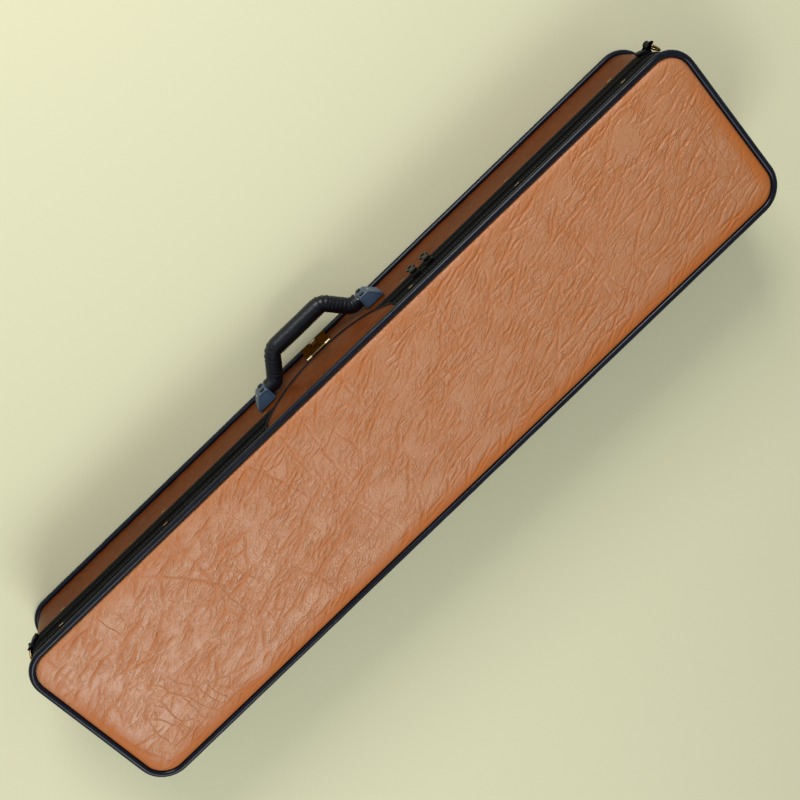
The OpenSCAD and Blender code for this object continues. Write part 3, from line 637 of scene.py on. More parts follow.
def plush_pile(name, low, high):
    """Short-pile plush: fibre speckle, brushed patches that lie lighter or darker, and a soft sheen."""
    m = new_material(name, sheen=0.25, specular=0.15)
    v = m.coords()
    fibre = m.noise(v, 1400.0, 3.0, 0.7)
    brushed = m.remap(m.noise(m.mapping(v, turn=(0, 0, 0.5), scale=(1, 2.4, 1)), 22.0, 3.0, 0.6, 0.6), 0.35, 0.65)
    colour = m.mix(m.plus(m.times(brushed, 0.6), m.times(fibre, 0.4)), (*low, 1), (*high, 1))
    return m.paint(colour, m.remap(fibre, 0.3, 0.7, 0.8, 0.98), m.plus(fibre, m.times(brushed, 0.5)), 0.7 * MM, 0.7)


def plywood_edge():
    """Birch plywood: thin alternating plies round the tray's wall and long grain on its faces."""
    m = new_material("birch_plywood")
    v = m.coords()
    grain = m.noise(m.mapping(v, scale=(1.0, 16.0, 16.0)), 14.0, 4.0, 0.6, 0.4)
    streak = m.noise(m.mapping(v, scale=(1.0, 40.0, 40.0)), 30.0, 2.0)
    colour = m.mix(grain, (0.40, 0.25, 0.12, 1), (0.62, 0.43, 0.24, 1))
    colour = m.mix(m.times(streak, 0.4), colour, (0.30, 0.17, 0.07, 1))
    return m.paint(colour, m.remap(grain, 0.2, 0.8, 0.55, 0.75), m.plus(grain, streak), 0.2 * MM, 0.5)


def moulded(name, low, high, roughness, specular):
    """Moulded plastic or nylon: faint flow lines and a fine orange-peel face."""
    m = new_material(name, specular=specular)
    v = m.coords()
    tone = m.group(TONE, Vector=v, Scale=40.0)["Factor"]
    rough = m.remap(tone, 0.0, 1.0, roughness - 0.06, roughness + 0.08)
    return m.paint(m.mix(tone, (*low, 1), (*high, 1)), rough, m.noise(v, 900.0, 2.0), 0.08 * MM, 0.4)


LID_LEATHER = creased_leather()
WALL_LEATHER = plain_leather("brown_leathercloth", (0.098, 0.021, 0.002), (0.130, 0.029, 0.003), 1500.0, 0.42,
                             0.25 * MM, crease_scale=70.0, specular=0.08)
PIPING = plain_leather("black_piping_vinyl", (0.002, 0.003, 0.007), (0.004, 0.006, 0.014), 2400.0, 0.26,
                       0.10 * MM, marks=0.15, specular=0.22)
HANDLE_VINYL = plain_leather("black_handle_vinyl", (0.003, 0.004, 0.007), (0.006, 0.008, 0.013), 1800.0, 0.34,
                             0.18 * MM, crease_scale=150.0, marks=0.1, specular=0.28)
# painted reflection: black vinyl given a blue base colour that stands for the sky reflected on the tabs' lit tops
TAB_VINYL_PAINTED_SKY = plain_leather("black_tab_vinyl_painted_sky_reflection", (0.026, 0.052, 0.094), (0.038, 0.072, 0.122), 1500.0, 0.42,
                          0.15 * MM, marks=0.1)
STRAP_VINYL = plain_leather("black_strap_vinyl", (0.002, 0.002, 0.004), (0.005, 0.005, 0.008), 1800.0, 0.40,
                            0.18 * MM, crease_scale=180.0, specular=0.07)
TAPE = woven("black_zip_tape", (0.003, 0.003, 0.003), (0.006, 0.006, 0.006), 800.0, sheen=0.0, specular=0.03)
TEETH = moulded("black_nylon_coil", (0.003, 0.003, 0.004), (0.006, 0.006, 0.007), 0.42, 0.08)
BUTTON = moulded("black_moulded_plastic", (0.010, 0.008, 0.007), (0.018, 0.015, 0.013), 0.28, 0.5)
BRASS = metal("brass_plate", (0.30, 0.18, 0.06), (0.42, 0.27, 0.10), 0.16)
# painted shade and painted reflection: the lock's brass gets a dark base colour that stands for the handle's shadow
# over it and the dark surroundings it mirrors
BRASS_DARKENED_AS_SHADE = metal("brass_darkened_as_shade_and_reflection", (0.130, 0.088, 0.038), (0.190, 0.130, 0.058), 0.18, edge=(0.34, 0.27, 0.16))
PALE_BRASS = metal("pale_polished_brass", (0.75, 0.60, 0.34), (0.85, 0.72, 0.45), 0.22)
STEEL = metal("bright_steel", (0.48, 0.48, 0.50), (0.62, 0.62, 0.63), 0.28)
ENAMEL = metal("black_enamel", (0.003, 0.003, 0.003), (0.006, 0.006, 0.006), 0.34, metallic=0.0,
               edge=(0.12, 0.12, 0.12))
PLUSH = plush_pile("deep_red_plush", (0.075, 0.004, 0.008), (0.19, 0.014, 0.022))
PLY = plywood_edge()
BLACK_THREAD = woven("black_thread", (0.010, 0.010, 0.011), (0.02, 0.02, 0.022), 2500.0, 0.6, coords="Object")
BROWN_THREAD = woven("brown_thread", (0.16, 0.055, 0.018), (0.24, 0.09, 0.03), 2500.0, 0.6, coords="Object")


def repaint(node, material):
    """Gives a carried-over CAD node its finished material."""
    mesh = frame["nodes"][node].data
    mesh.materials.clear()
    mesh.materials.append(material)


# ---------------------------------------------------------------- padded panels

PANEL_GRID = (500, 172)
PANEL_INSET = 0.2 * MM
ARC_COLUMNS = 16
SPARSE = slice(7, -7, 19)  # the hidden underside keeps one column in nineteen


def panel_plan():
    """A grid over the panel's plan, and each point's distance inside the edge: x runs end to end with closer steps
    at the rounded corners, and y is a share of the half width there, which shrinks along the corner's quarter
    circle."""
    count_x, count_y = PANEL_GRID
    lx, ly = top_panel_hi[0] - PANEL_INSET, top_panel_hi[1] - PANEL_INSET
    r = corner_r + (top_panel_hi[0] - half_l)
    ends = lx - r + r * np.sin(np.linspace(0, math.pi / 2, ARC_COLUMNS))
    middle = np.linspace(-(lx - r), lx - r, count_x - 2 * (ARC_COLUMNS - 1))
    x = np.concatenate([-ends[::-1][:-1], middle, ends[1:]])
    past = np.clip(np.abs(x) - (lx - r), 0, r)
    width = ly - r + np.sqrt(np.maximum(r * r - past * past, 0))
    share = 0.35 * np.sin(np.linspace(-1, 1, count_y) * math.pi / 2) + 0.65 * np.linspace(-1, 1, count_y)
    X = np.repeat(x[:, None], count_y, 1)
    Y = width[:, None] * share[None]
    corner = np.hypot(np.maximum(np.abs(X) - (lx - r), 0), np.maximum(np.abs(Y) - (ly - r), 0))
    inside = np.minimum(lx - np.abs(X), ly - np.abs(Y))
    in_corner = (np.abs(X) > lx - r) & (np.abs(Y) > ly - r)
    return X, Y, np.maximum(np.where(in_corner, r - corner, inside), 0)


def crease_height(X, Y, count, seed):
    """Creases as a height over the panel: each is a bent line with a narrow valley and a softer ridge beside it,
    most of them leaning a little off the case's length, strong in the middle and fading at both ends."""
    rng = np.random.default_rng(seed)
    height, depth = np.zeros_like(X), np.zeros_like(X)
    lx, ly = X.max(), Y.max()
    lean, spread, long_share, deepest = 17.0, 15.0, 0.06, 0.62 * MM
    for _ in range(count):
        cx, cy = rng.uniform(-lx, lx), rng.uniform(-ly, ly)
        angle = math.radians(rng.normal(lean, spread))
        length = rng.uniform(8, 30) * MM
        if rng.random() < long_share:
            length *= 2.6
            angle += rng.choice([0, 1.3])
        bend = rng.normal(0, 0.12) / length
        width = rng.uniform(0.8, 1.2) * MM
        size = rng.uniform(0.18, 0.62) * MM
        near = np.nonzero(np.abs(X[:, 0] - cx) < length + 4 * width)[0]
        if not len(near):
            continue
        rows = slice(near[0], near[-1] + 1)
        x, y = X[rows] - cx, Y[rows] - cy
        u = x * math.cos(angle) + y * math.sin(angle)
        straight = -x * math.sin(angle) + y * math.cos(angle)
        v = straight - bend * u * u - 0.5 * MM * np.sin(u / (3.2 * MM) + cx * 900)
        fade = smooth_ramp(1.15 - np.abs(u) / length)
        valley = np.exp(-(v / width) ** 2)
        ridge = np.exp(-((v - 1.9 * width) / (1.3 * width)) ** 2)
        height[rows] += size * fade * (0.75 * ridge - valley)
        depth[rows] = np.maximum(depth[rows], size / deepest * fade * valley)
    return height, depth


def mark_creases(mesh, X, Y, strength, low_limit):
    """The point attribute that the lid's material reads, on the mesh's points: the creases' depth, and a band of
    painted shade inside the panel's edge, where the skin curves away from the light, which weakens towards the lit
    front."""
    where = np.empty(len(mesh.vertices) * 3)
    mesh.vertices.foreach_get("co", where)
    x, y, z = where.reshape(-1, 3).T
    from_edge = np.minimum(top_panel_hi[1] - np.abs(y), top_panel_hi[0] - np.abs(x))
    # painted shade: a band inside the panel's edge, where the skin curves away from the light, weaker towards the lit
    # front
    painted_edge_shade = smooth_ramp(1.3 - 1.3 * from_edge / (20 * MM)) * (0.3 + 0.7 * smooth_ramp((y + 0.09) / 0.12))
    rows = np.clip(np.searchsorted(X[:, 0], x - 1e-7), 0, len(X) - 1)
    share = np.clip(y / np.maximum(Y[rows, -1], 1e-6), -1, 1)
    middle = Y[len(Y) // 2]
    columns = np.clip(np.searchsorted(middle / middle[-1], share - 1e-5), 0, X.shape[1] - 1)
    marked = strength[rows, columns] * (z > low_limit)
    shade = mesh.attributes.new("crease_and_shade", "FLOAT", "POINT")
    shade.data.foreach_set("value", np.clip(0.75 * marked + 0.95 * painted_edge_shade, 0, 1).astype(np.float32))


def padded_panel(name, node, material, top, body, creases, seed):
    """Leathercloth over wadding: a closed skin whose edge tucks down to the piping in a quarter ellipse, a slight
    crown across the middle, slow dimples, and creases that fade towards the edge."""
    lo, hi = span(node)
    X, Y, inside = panel_plan()
    thick, tuck = hi[2] - lo[2] - 0.3 * MM, 7 * MM
    t = np.clip(inside / tuck, 0, 1)
    rise = thick * np.sqrt(np.clip(1 - (1 - t) ** 2, 0, 1))
    height, depth = crease_height(X, Y, creases, seed)
    keep = smooth_ramp(inside / (9 * MM))
    slow = 0.30 * MM * soft_noise(X, Y, 60 * MM, seed + 1) + 0.16 * MM * soft_noise(X, Y, 17 * MM, seed + 2)
    if top:
        crown = 1.0 * MM * smooth_ramp(inside / (60 * MM))
        skin = lo[2] + 0.15 * MM + rise + (crown + slow + height) * keep
        back = lo[2] + 0.1 * MM
    else:
        pressed = np.minimum(slow + height, 0) * keep
        skin = hi[2] - 0.15 * MM - rise + np.where(t < 1, 0, -0.15 * MM) - pressed * 0.5
        skin = np.maximum(skin, lo[2])
        back = hi[2] - 0.1 * MM
    outer = np.stack([X, Y, skin], -1)
    hidden = np.stack([X, Y, np.full_like(X, back)], -1)[:, SPARSE]
    obj = grid_object(name, both_sides(outer, hidden), wrap_cols=True)
    finish_mesh(obj, material, body, (node,))
    mark_creases(obj.data, X, Y, depth * keep, lo[2] + 1 * MM if top else -1)


padded_panel("lid_padded_panel", "lid_panel_cover", LID_LEATHER, True, "lid", 900, 11)
padded_panel("bottom_padded_panel", "bottom_cover", WALL_LEATHER, False, "base", 260, 23)


# ---------------------------------------------------------------- walls and pipings

def wall_skin(name, node, body, seed):
    """Leathercloth drawn over the wall: its face wanders by a few tenths of a millimetre, puckers beside the
    piping, and turns in at both edges."""
    lo, hi = span(node)
    points, normals, along = OUTLINE
    face, turn_in = hi[0] - half_l, 0.5 * MM
    rows = max(8, round((hi[2] - lo[2]) / (2.5 * MM)))
    z = np.concatenate([[lo[2]], np.linspace(lo[2] + turn_in, hi[2] - turn_in, rows), [hi[2]]])
    S, Z = np.meshgrid(along, z, indexing="ij")
    edge = np.minimum(Z - lo[2], hi[2] - Z)
    tuck = np.minimum(edge / turn_in, 1)
    ripple = np.sin(S / (3.1 * MM) + 2 * soft_noise(S, Z, 40 * MM, seed))
    pucker = 0.12 * MM * np.exp(-edge / (4 * MM)) * ripple
    drift = 0.18 * MM * soft_noise(S, Z, 45 * MM, seed + 1) + 0.08 * MM * soft_noise(S, Z, 9 * MM, seed + 2)
    outer = along_wall(points, normals, face - 0.25 * MM + drift + pucker - 0.3 * MM * (1 - tuck), Z)
    inner = along_wall(points, normals, face - 1.15 * MM, [hi[2], lo[2]])
    obj = grid_object(name, np.concatenate([outer, inner], 1), wrap_rows=True, wrap_cols=True)
    finish_mesh(obj, WALL_LEATHER, body, (node,))


wall_skin("base_wall_leathercloth", "base_wall_cover", "base", 31)
wall_skin("lid_wall_leathercloth", "lid_wall_cover", "lid", 41)


def piping_cord(name, node, body, seed):
    """Vinyl piping: a round cord round the plan that swells and sinks a little along its length."""
    lo, hi = span(node)
    points, normals, along = OUTLINE
    centre = along_wall(points, normals, cord_out, (lo[2] + hi[2]) / 2)[:, 0]
    swell = 0.10 * MM * soft_noise(along, along * 0, 22 * MM, seed)
    swell = swell + 0.05 * MM * soft_noise(along, along * 0, 6 * MM, seed + 1)
    radius = (hi[2] - lo[2]) / 2 - 0.12 * MM + np.minimum(swell, 0.1 * MM)
    finish_mesh(tube(name, centre, radius, 20, closed=True), PIPING, body, (node,))


piping_cord("lid_piping_cord", "lid_piping", "lid", 51)
piping_cord("bottom_piping_cord", "bottom_piping", "base", 61)


# ---------------------------------------------------------------- zip

def zip_tape(name, node, body, seed):
    """Woven tape: flat across the wall with turned edges, a raised cord beside the teeth and a slight wander."""
    lo, hi = span(node)
    points, normals, along = zip_run()
    out, wide = hi[0] - half_l, hi[2] - lo[2]
    turned = np.geomspace(0.15 * MM, 3 * MM, 5)
    z = np.concatenate([[0], turned, np.linspace(4.5 * MM, wide - 4.5 * MM, 5), wide - turned[::-1], [wide]])
    from_teeth = z if body == "lid" else wide - z
    S, T = np.meshgrid(along, z, indexing="ij")
    cord = 0.45 * MM * np.exp(-((from_teeth - 2.2 * MM) / (0.8 * MM)) ** 2)
    edge = np.minimum(T, wide - T)
    face = out - 0.6 * MM - 0.9 * MM * np.exp(-edge / (0.5 * MM)) + cord + 0.12 * MM * soft_noise(S, T, 30 * MM, seed)
    outer = along_wall(points, normals, np.maximum(face, 0.15 * MM), lo[2] + T)
    inner = along_wall(points, normals, 0.05 * MM, [hi[2], lo[2]])
    uv = np.stack(np.meshgrid(along, np.concatenate([z, z[[-1, 0]]]), indexing="ij"), -1)
    obj = grid_object(name, np.concatenate([outer, inner], 1), wrap_cols=True, uv=uv, cap_ends=True)
    finish_mesh(obj, TAPE, body, (node,))
    up = np.concatenate([normals, np.zeros((len(normals), 1))], 1)
    first, way = (lo[2] + 2.2 * MM, 1) if body == "base" else (hi[2] - 2.2 * MM, -1)
    for k in range(2):
        path = along_wall(points, normals, out - 0.52 * MM, first + way * k * 3.6 * MM)[:, 0]
        stitch_row(f"{name}_stitches_{k + 1}", path, up, 3.4 * MM, BLACK_THREAD, body)


zip_tape("base_woven_tape", "base_zip_tape", "base", 71)
zip_tape("lid_woven_tape", "lid_zip_tape", "lid", 81)


def zip_coil(name, node, body, phase):
    """Nylon coil: one rounded tooth every 1.5 mm along the band, its head over the closing line and its tail in the
    tape."""
    lo, hi = span(node)
    points, normals, along = zip_run()
    pitch, gap, soft_end, half_wide = 1.5 * MM, 0.05 * MM, 0.35 * MM, 0.5 * MM
    s = np.arange(along[0] + 1 * MM + phase * pitch, along[-1] - 1 * MM, pitch)
    place, outwards = read_at(s, along, points), unit(read_at(s, along, normals))
    sideways = np.stack([-outwards[:, 1], outwards[:, 0]], -1)
    # each tooth: a ring of six points at four heights across the band
    z0, z1 = lo[2] + gap, hi[2] - gap
    heights = np.array([z0, z0 + soft_end, z1 - soft_end, z1])
    shrink = np.array([0.7, 1.0, 1.0, 0.7])[:, None]
    base_out, top_out = 0.3 * MM, hi[0] - half_l - 0.03 * MM
    ring = np.array([(-1, 0.0), (-1, 0.7), (-0.55, 1.0), (0.55, 1.0), (1, 0.7), (1, 0.0)])
    side = ring[:, 0] * half_wide * shrink
    lift = base_out + ring[:, 1] * (top_out - base_out)
    out = base_out + (lift - base_out) * shrink
    xy = place[:, None, None] + sideways[:, None, None] * side[..., None] + outwards[:, None, None] * out[..., None]
    z = np.broadcast_to(heights[:, None, None], (*xy.shape[:3], 1))
    obj = small_prisms(name, np.concatenate([xy, z], -1))
    finish_mesh(obj, TEETH, body, (node,), smooth=False)


zip_coil("base_nylon_coil", "base_zip_chain", "base", 0.0)
zip_coil("lid_nylon_coil", "lid_zip_chain", "lid", 0.5)


# ---------------------------------------------------------------- hinge strip

def hinge_cloth():
    """The leathercloth hinge: a thin closed sheet up the back wall, fine rows across the bend, a slight cockle."""
    lo, hi = span("hinge_strip")
    bend_z, bend = HINGE[2], 6 * MM
    x = np.linspace(lo[0] + 0.3 * MM, hi[0] - 0.3 * MM, 240)
    z = np.concatenate([np.linspace(lo[2], bend_z - bend, 8)[:-1], np.linspace(bend_z - bend, bend_z + bend, 18),
                        np.linspace(bend_z + bend, hi[2], 8)[1:]])
    X, Z = np.meshgrid(x, z, indexing="ij")
    edge = np.clip(np.minimum(Z - lo[2], hi[2] - Z) / (0.6 * MM), 0, 1)
    outer_y = hi[1] - 0.35 * MM - 0.4 * MM * (1 - edge) + 0.12 * MM * soft_noise(X, Z, 12 * MM, 5)
    back = np.stack([X, np.full_like(X, lo[1] + 0.06 * MM), Z], -1)
    loop = both_sides(np.stack([X, outer_y, Z], -1), back)
    obj = grid_object("hinge_leathercloth", loop, wrap_cols=True, cap_ends=True)
    finish_mesh(obj, WALL_LEATHER, None, ("hinge_strip",))
    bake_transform(obj)
    xs = np.arange(lo[0] + 2 * MM, hi[0] - 2 * MM, 2 * MM)
    for label, body, height in (("low", "base", lo[2] + 2.5 * MM), ("top", "lid", hi[2] - 2.5 * MM)):
        path = np.stack([xs, np.full_like(xs, hi[1] - 0.25 * MM), np.full_like(xs, height)], -1)
        stitch_row(f"hinge_stitches_{label}", path, (0, 1, 0), 3.6 * MM, BROWN_THREAD, body)


hinge_cloth()


# ---------------------------------------------------------------- flap with its binding

def lock_flap():
    """The lock's flap: a disc's lower part hung from under the lid's piping. It leaves the wall at its root, stands
    off over the zip and bellies slightly. Its edge is bound with a soft cord and stitched."""
    lo, hi = span("flap_binding")
    outer = front_y - span("lock_flap")[0][1]
    top_z, half, drop = hi[2], (hi[0] - lo[0]) / 2, hi[2] - lo[2]
    middle = (lo[0] + hi[0]) / 2
    radius = (half * half + drop * drop) / (2 * drop)
    centre_z = lo[2] + radius
    bound, thick, root = 2.5 * MM, 1.6 * MM, 0.15 * MM

    def stand_off(z, near, far):
        """How far something stands off the wall at height z: near at the flap's root, far once it hangs."""
        return near + (far - near) * smooth_ramp((top_z - z) / (9 * MM))

    def rim_path(rim, start_z, count, off):
        """An arc of the flap's disc that begins and ends at height start_z and stands off by off(z)."""
        end = math.acos((centre_z - start_z) / rim)
        angle = np.linspace(-end, end, count)
        z = centre_z - rim * np.cos(angle)
        return np.stack([middle + rim * np.sin(angle), front_y - off(z), z], -1)

    inner_r = radius - bound + 0.8 * MM
    reach = math.sqrt(inner_r ** 2 - (centre_z - top_z) ** 2) - 0.3 * MM
    u = np.sin(np.linspace(-1, 1, 90) * math.pi / 2) * reach
    t = np.linspace(0, 1, 40)
    low = centre_z - np.sqrt(inner_r ** 2 - u ** 2)
    Z = (top_z - 0.2 * MM) + (low - top_z + 0.2 * MM)[:, None] * t[None]
    X = np.repeat((middle + u)[:, None], len(t), 1)
    inner_out = stand_off(Z, root, outer - thick)
    belly = 0.25 * MM * np.sin(math.pi * t)[None] * np.cos(u / reach * math.pi / 2)[:, None]
    front = front_y - (inner_out + thick + belly + 0.12 * MM * soft_noise(X, Z, 22 * MM, 9))
    loop = both_sides(np.stack([X, front, Z], -1), np.stack([X, front_y - inner_out, Z], -1))
    obj = grid_object("lock_flap_leathercloth", loop, wrap_cols=True, cap_ends=True)
    finish_mesh(obj, WALL_LEATHER, "lid", ("lock_flap",))
    # the binding is a cord along the disc's rim, and the stitches run inside it
    path = rim_path(radius - bound / 2, top_z - 0.5 * MM, 160,
                    lambda z: stand_off(z, 0.9 * MM, outer - thick / 2 + 0.35 * MM))
    binding = tube("flap_edge_binding", path, 1.6 * MM, 12, up=(0, 1, 0))
    finish_mesh(binding, STRAP_VINYL, "lid", ("flap_binding",))
    path = rim_path(radius - bound - 2 * MM, top_z - 4 * MM, 200,
                    lambda z: stand_off(z, root, outer - thick) + thick + 0.25 * MM)
    stitch_row("flap_stitches", path, (0, -1, 0), 3.2 * MM, BLACK_THREAD, "lid")


lock_flap()


# ---------------------------------------------------------------- handle

GRIP_HALF = 33 * MM
BEND_RADII = (9 * MM, 12.5 * MM, 12.5 * MM, 9 * MM)


def handle_path(count=440):
    """The handle's middle line: toe, leg, grip, leg, toe, with each bend rounded by an arc tangent to both runs."""
    toe_lo, toe_hi = span("handle_toes")
    pin_y = sum(span("handle_pins"))[1] / 2
    reach = (toe_hi[0] - toe_lo[0]) / 2
    toe_u = reach + 0.3 * MM - 8.2 * MM - 1.4 * MM
    corners = np.array([(-reach, pin_y), (-toe_u, pin_y), (-GRIP_HALF, grip_y),
                        (GRIP_HALF, grip_y), (toe_u, pin_y), (reach, pin_y)])
    bends = [corner_arc(*corners[k - 1:k + 2], r, 16) for k, r in enumerate(BEND_RADII, 1)]
    flat = np.concatenate([corners[:1], *bends, corners[-1:]])
    along = distance_along(flat)
    s = np.linspace(0, along[-1], count)
    return np.concatenate([read_at(s, along, flat) + [grip_x, 0], np.full((count, 1), grip_z)], -1), s


def padded_handle():
    """The handle's padded wrap: a round section along the middle line, fullest along the grip, gathered into small
    rings down the legs and crinkled inside the bends. A seam runs along the inner side, and a cuff closes each end
    of the grip."""
    path, s = handle_path()
    mid = s[-1] / 2
    u = np.abs(s - mid)
    grip, neck = smooth_ramp((GRIP_HALF - u) / (7 * MM)), smooth_ramp((u - (mid - 9 * MM)) / (7 * MM))
    base = 8.3 * MM + 0.6 * MM * grip - 0.4 * MM * neck
    sides = 40
    S, P = np.meshgrid(s, np.arange(sides) * TAU / sides, indexing="ij")
    past_bend = np.abs(S - mid) - 36 * MM
    leg, bends = smooth_ramp(past_bend / (8 * MM)), np.exp(-(past_bend / (7 * MM)) ** 2)
    rings = np.sin(S / (0.62 * MM) + 3.4 * soft_noise(S, P * 4 * MM, 8 * MM, 3))
    folds = 0.26 * MM * leg * rings * (0.5 + 0.5 * soft_noise(S, P * 6 * MM, 6 * MM, 4))
    ripple = np.sin(S / (0.6 * MM) + 2 * soft_noise(S, P * 5 * MM, 8 * MM, 6))
    crinkle = 0.35 * MM * bends * ripple * np.clip(np.cos(P), 0, 1)
    soft = 0.22 * MM * soft_noise(S, P * 9 * MM, 13 * MM, 7)
    seam = 0.35 * MM * np.exp(-((np.mod(P + math.pi, TAU) - math.pi) / 0.14) ** 2) * (1 - 0.5 * leg)
    radius = np.minimum(base[:, None] + folds + crinkle + soft, 8.95 * MM) - seam * 0.6
    obj = tube("handle_padded_wrap", path, radius, sides)
    finish_mesh(obj, HANDLE_VINYL, "handle", ("handle_grip", "handle_legs", "handle_toes"))
    up = np.array([0, 0, 1.0])
    tangent = unit(np.gradient(path, axis=0))
    side = np.cross(tangent, up)
    for label, where in (("left", mid + 30.5 * MM), ("right", mid - 30.5 * MM)):
        k = np.argmin(np.abs(s - where))
        ring = path[k] + (base[k] + 0.12 * MM) * spokes(side[k:k + 1], up[None], 48)[0]
        cuff = tube(f"handle_cuff_{label}", ring, 0.55 * MM, 8, closed=True, up=tangent[k])
        finish_mesh(cuff, HANDLE_VINYL, "handle")
    side = np.sign(side[:, 1].mean()) * side
    inner_line = path + side * (base[:, None] + 0.05 * MM)
    keep = u < 30 * MM
    for label, dz in (("low", -1.6 * MM), ("top", 1.6 * MM)):
        stitch_row(f"handle_stitches_{label}", inner_line[keep] + [0, 0, dz], side[keep], 3 * MM, BLACK_THREAD,
                   "handle", 0.3 * MM)


padded_handle()


def end_tab(name, node, side, seed):
    """A handle tab: a wedge in plan, square to the grip and tapering to a toe, its leathercloth rounded over every
    edge, with a stitch line inside the upper and lower edges."""
    lo, hi = span(node)
    near, far = (lo[0], hi[0]) if side > 0 else (hi[0], lo[0])
    wall, out = hi[1], lo[1]
    corners = [(near, wall), (near, out), (near + side * 11.5 * MM, out), (far, wall - 4 * MM), (far, wall)]
    radii = [0.8 * MM, 2.6 * MM, 3.2 * MM, 1.6 * MM, 0.8 * MM]
    if side < 0:
        corners, radii = corners[::-1], radii[::-1]
    outline = rounded_outline(corners, radii, step=1 * MM)
    pillow_block(name, node, outline, lo[2] + 0.1 * MM, hi[2] - 0.5 * MM, 1.6 * MM, 0.4 * MM, TAB_VINYL_PAINTED_SKY,
                 seed, low_edge=1.6 * MM)
    centre = outline.mean(0)
    ring = centre + (outline - centre) * 0.80
    for label, z in (("top", hi[2] - 0.12 * MM), ("low", lo[2] + 0.05 * MM)):
        path = np.concatenate([ring, np.full((len(ring), 1), z)], 1)
        stitch_row(f"{name}_stitches_{label}", path, (0, 0, 1), 2.6 * MM, BLACK_THREAD, "base", 0.3 * MM)


end_tab("handle_end_tab_left", "handle_tab_left", 1, 3)
end_tab("handle_end_tab_right", "handle_tab_right", -1, 4)


# ---------------------------------------------------------------- strap anchors

def strap_fold(name, node, side, bar_at, bar_r):
    """A strap end: a leather strip round the case's corner that folds round the ring's bar and is sewn down."""
    lo, hi = span(node)
    centre = np.array([side * (half_l - corner_r), -(half_w - corner_r)])
    inner, outer = corner_r + 2.05 * MM, corner_r + 5.3 * MM

    def direction(degrees):
        """Ways out from the corner's centre, by angle from the case's end towards its front."""
        return np.stack([side * np.cos(np.radians(degrees)), -np.sin(np.radians(degrees))], -1)

    bar = centre + bar_at * direction(54.0)
    inside = centre + inner * direction(np.linspace(80, 53, 16))
    start = math.atan2(*(inside[-1] - bar)[::-1])
    sweep = start + side * np.linspace(0.15, 1.15 * math.pi, 18)
    loop = bar + (bar_r - 0.05 * MM) * np.stack([np.cos(sweep), np.sin(sweep)], -1)
    outline = np.concatenate([inside, loop, centre + outer * direction(np.linspace(60, 80, 14))])
    ahead = np.roll(outline, -1, 0)
    if np.sum(outline[:, 0] * ahead[:, 1] - ahead[:, 0] * outline[:, 1]) < 0:
        outline = outline[::-1]
    z0, z1, edge = lo[2] + 0.1 * MM, hi[2] - 0.1 * MM, 0.7 * MM
    chord = np.roll(outline, -1, 0) - np.roll(outline, 1, 0)
    normal = chord[:, ::-1] * [1, -1]
    normal = normal / np.maximum(np.linalg.norm(normal, axis=1, keepdims=True), 1e-9)
    rings = edge_round(edge, z0, 4) + edge_round(edge, z1, 4, top=True)
    points = np.stack([np.concatenate([outline - normal * inset, np.full((len(outline), 1), z)], 1)
                       for inset, z in rings])
    obj = grid_object(name, points, wrap_cols=True, cap_ends=True)
    finish_mesh(obj, STRAP_VINYL, "base", (node,))
    way = direction(np.linspace(63, 79, 20))
    flat_up = np.concatenate([way, np.zeros((20, 1))], 1)
    for label, z in (("top", z1 - 1.8 * MM), ("low", z0 + 1.8 * MM)):
        path = np.concatenate([centre + (outer + 0.05 * MM) * way, np.full((20, 1), z)], 1)
        stitch_row(f"{name}_stitches_{label}", path, flat_up, 2 * MM, BLACK_THREAD, "base", 0.28 * MM)


strap_fold("strap_fold_left", "strap_anchor_left", 1, 30.6 * MM, 2.2 * MM)
strap_fold("strap_fold_right", "strap_anchor_right", -1, 34 * MM, 4 * MM)


# ---------------------------------------------------------------- plush inside

def tray_lining(name, node, body, floor_up, seed):
    """A plush lining: a profile carried round the plan, from the rim down the wall, round a soft cove and onto the
    board, with the board's own face closing it; the back follows the same way round."""
    lo, hi = span(node)
    points, normals, along = OUTLINE
    rim, deep, s = (hi[2], lo[2], 1) if floor_up else (lo[2], hi[2], -1)
    t, cove, outer = 2 * MM, 5 * MM, hi[0] - half_l
    face = outer - t
    profile = [(outer - 0.05 * MM, deep + s * 0.05 * MM), (outer - 0.05 * MM, rim - s * 0.3 * MM),
               (outer - 0.6 * MM, rim), (face + 0.5 * MM, rim)]
    hard = len(profile)
    profile += [(face, rim - s * z) for z in np.linspace(0.6 * MM, abs(rim - deep) - t - cove, 8)]
    profile += [(face - cove * (1 - math.cos(a)), deep + s * (t + cove * (1 - math.sin(a))))
                for a in np.linspace(0, math.pi / 2, 7)]
    out, z = np.array(profile).T
    S, Z = np.meshgrid(along, z, indexing="ij")
    soft = np.abs(0.15 * MM * soft_noise(S, Z, 18 * MM, seed))
    ring = along_wall(points, normals, out + np.where(np.arange(len(out)) >= hard, -soft, 0), Z)
    rows, cols = ring.shape[:2]
    faces = grid_faces(rows, cols, wrap_rows=True).tolist()
    faces.append([r * cols for r in range(rows)])
    faces.append([r * cols + cols - 1 for r in range(rows)][::-1])
    obj = mesh_object(name, ring, faces)
    merge_and_turn(obj.data)
    finish_mesh(obj, PLUSH, body, (node,))


tray_lining("base_plush_lining", "base_lining", "base", True, 91)
tray_lining("lid_plush_lining", "lid_lining", "lid", False, 92)

LINING_CORNER = 15.8 * MM
BLOCK_GAP = 0.35 * MM


def block_outline(lo, hi, radii):
    """A rectangle with its four corners rounded, anticlockwise from the lowest x and y."""
    (x0, y0), (x1, y1) = lo[:2] + BLOCK_GAP, hi[:2] - BLOCK_GAP
    return rounded_outline([(x0, y0), (x1, y0), (x1, y1), (x0, y1)], radii, step=5 * MM)


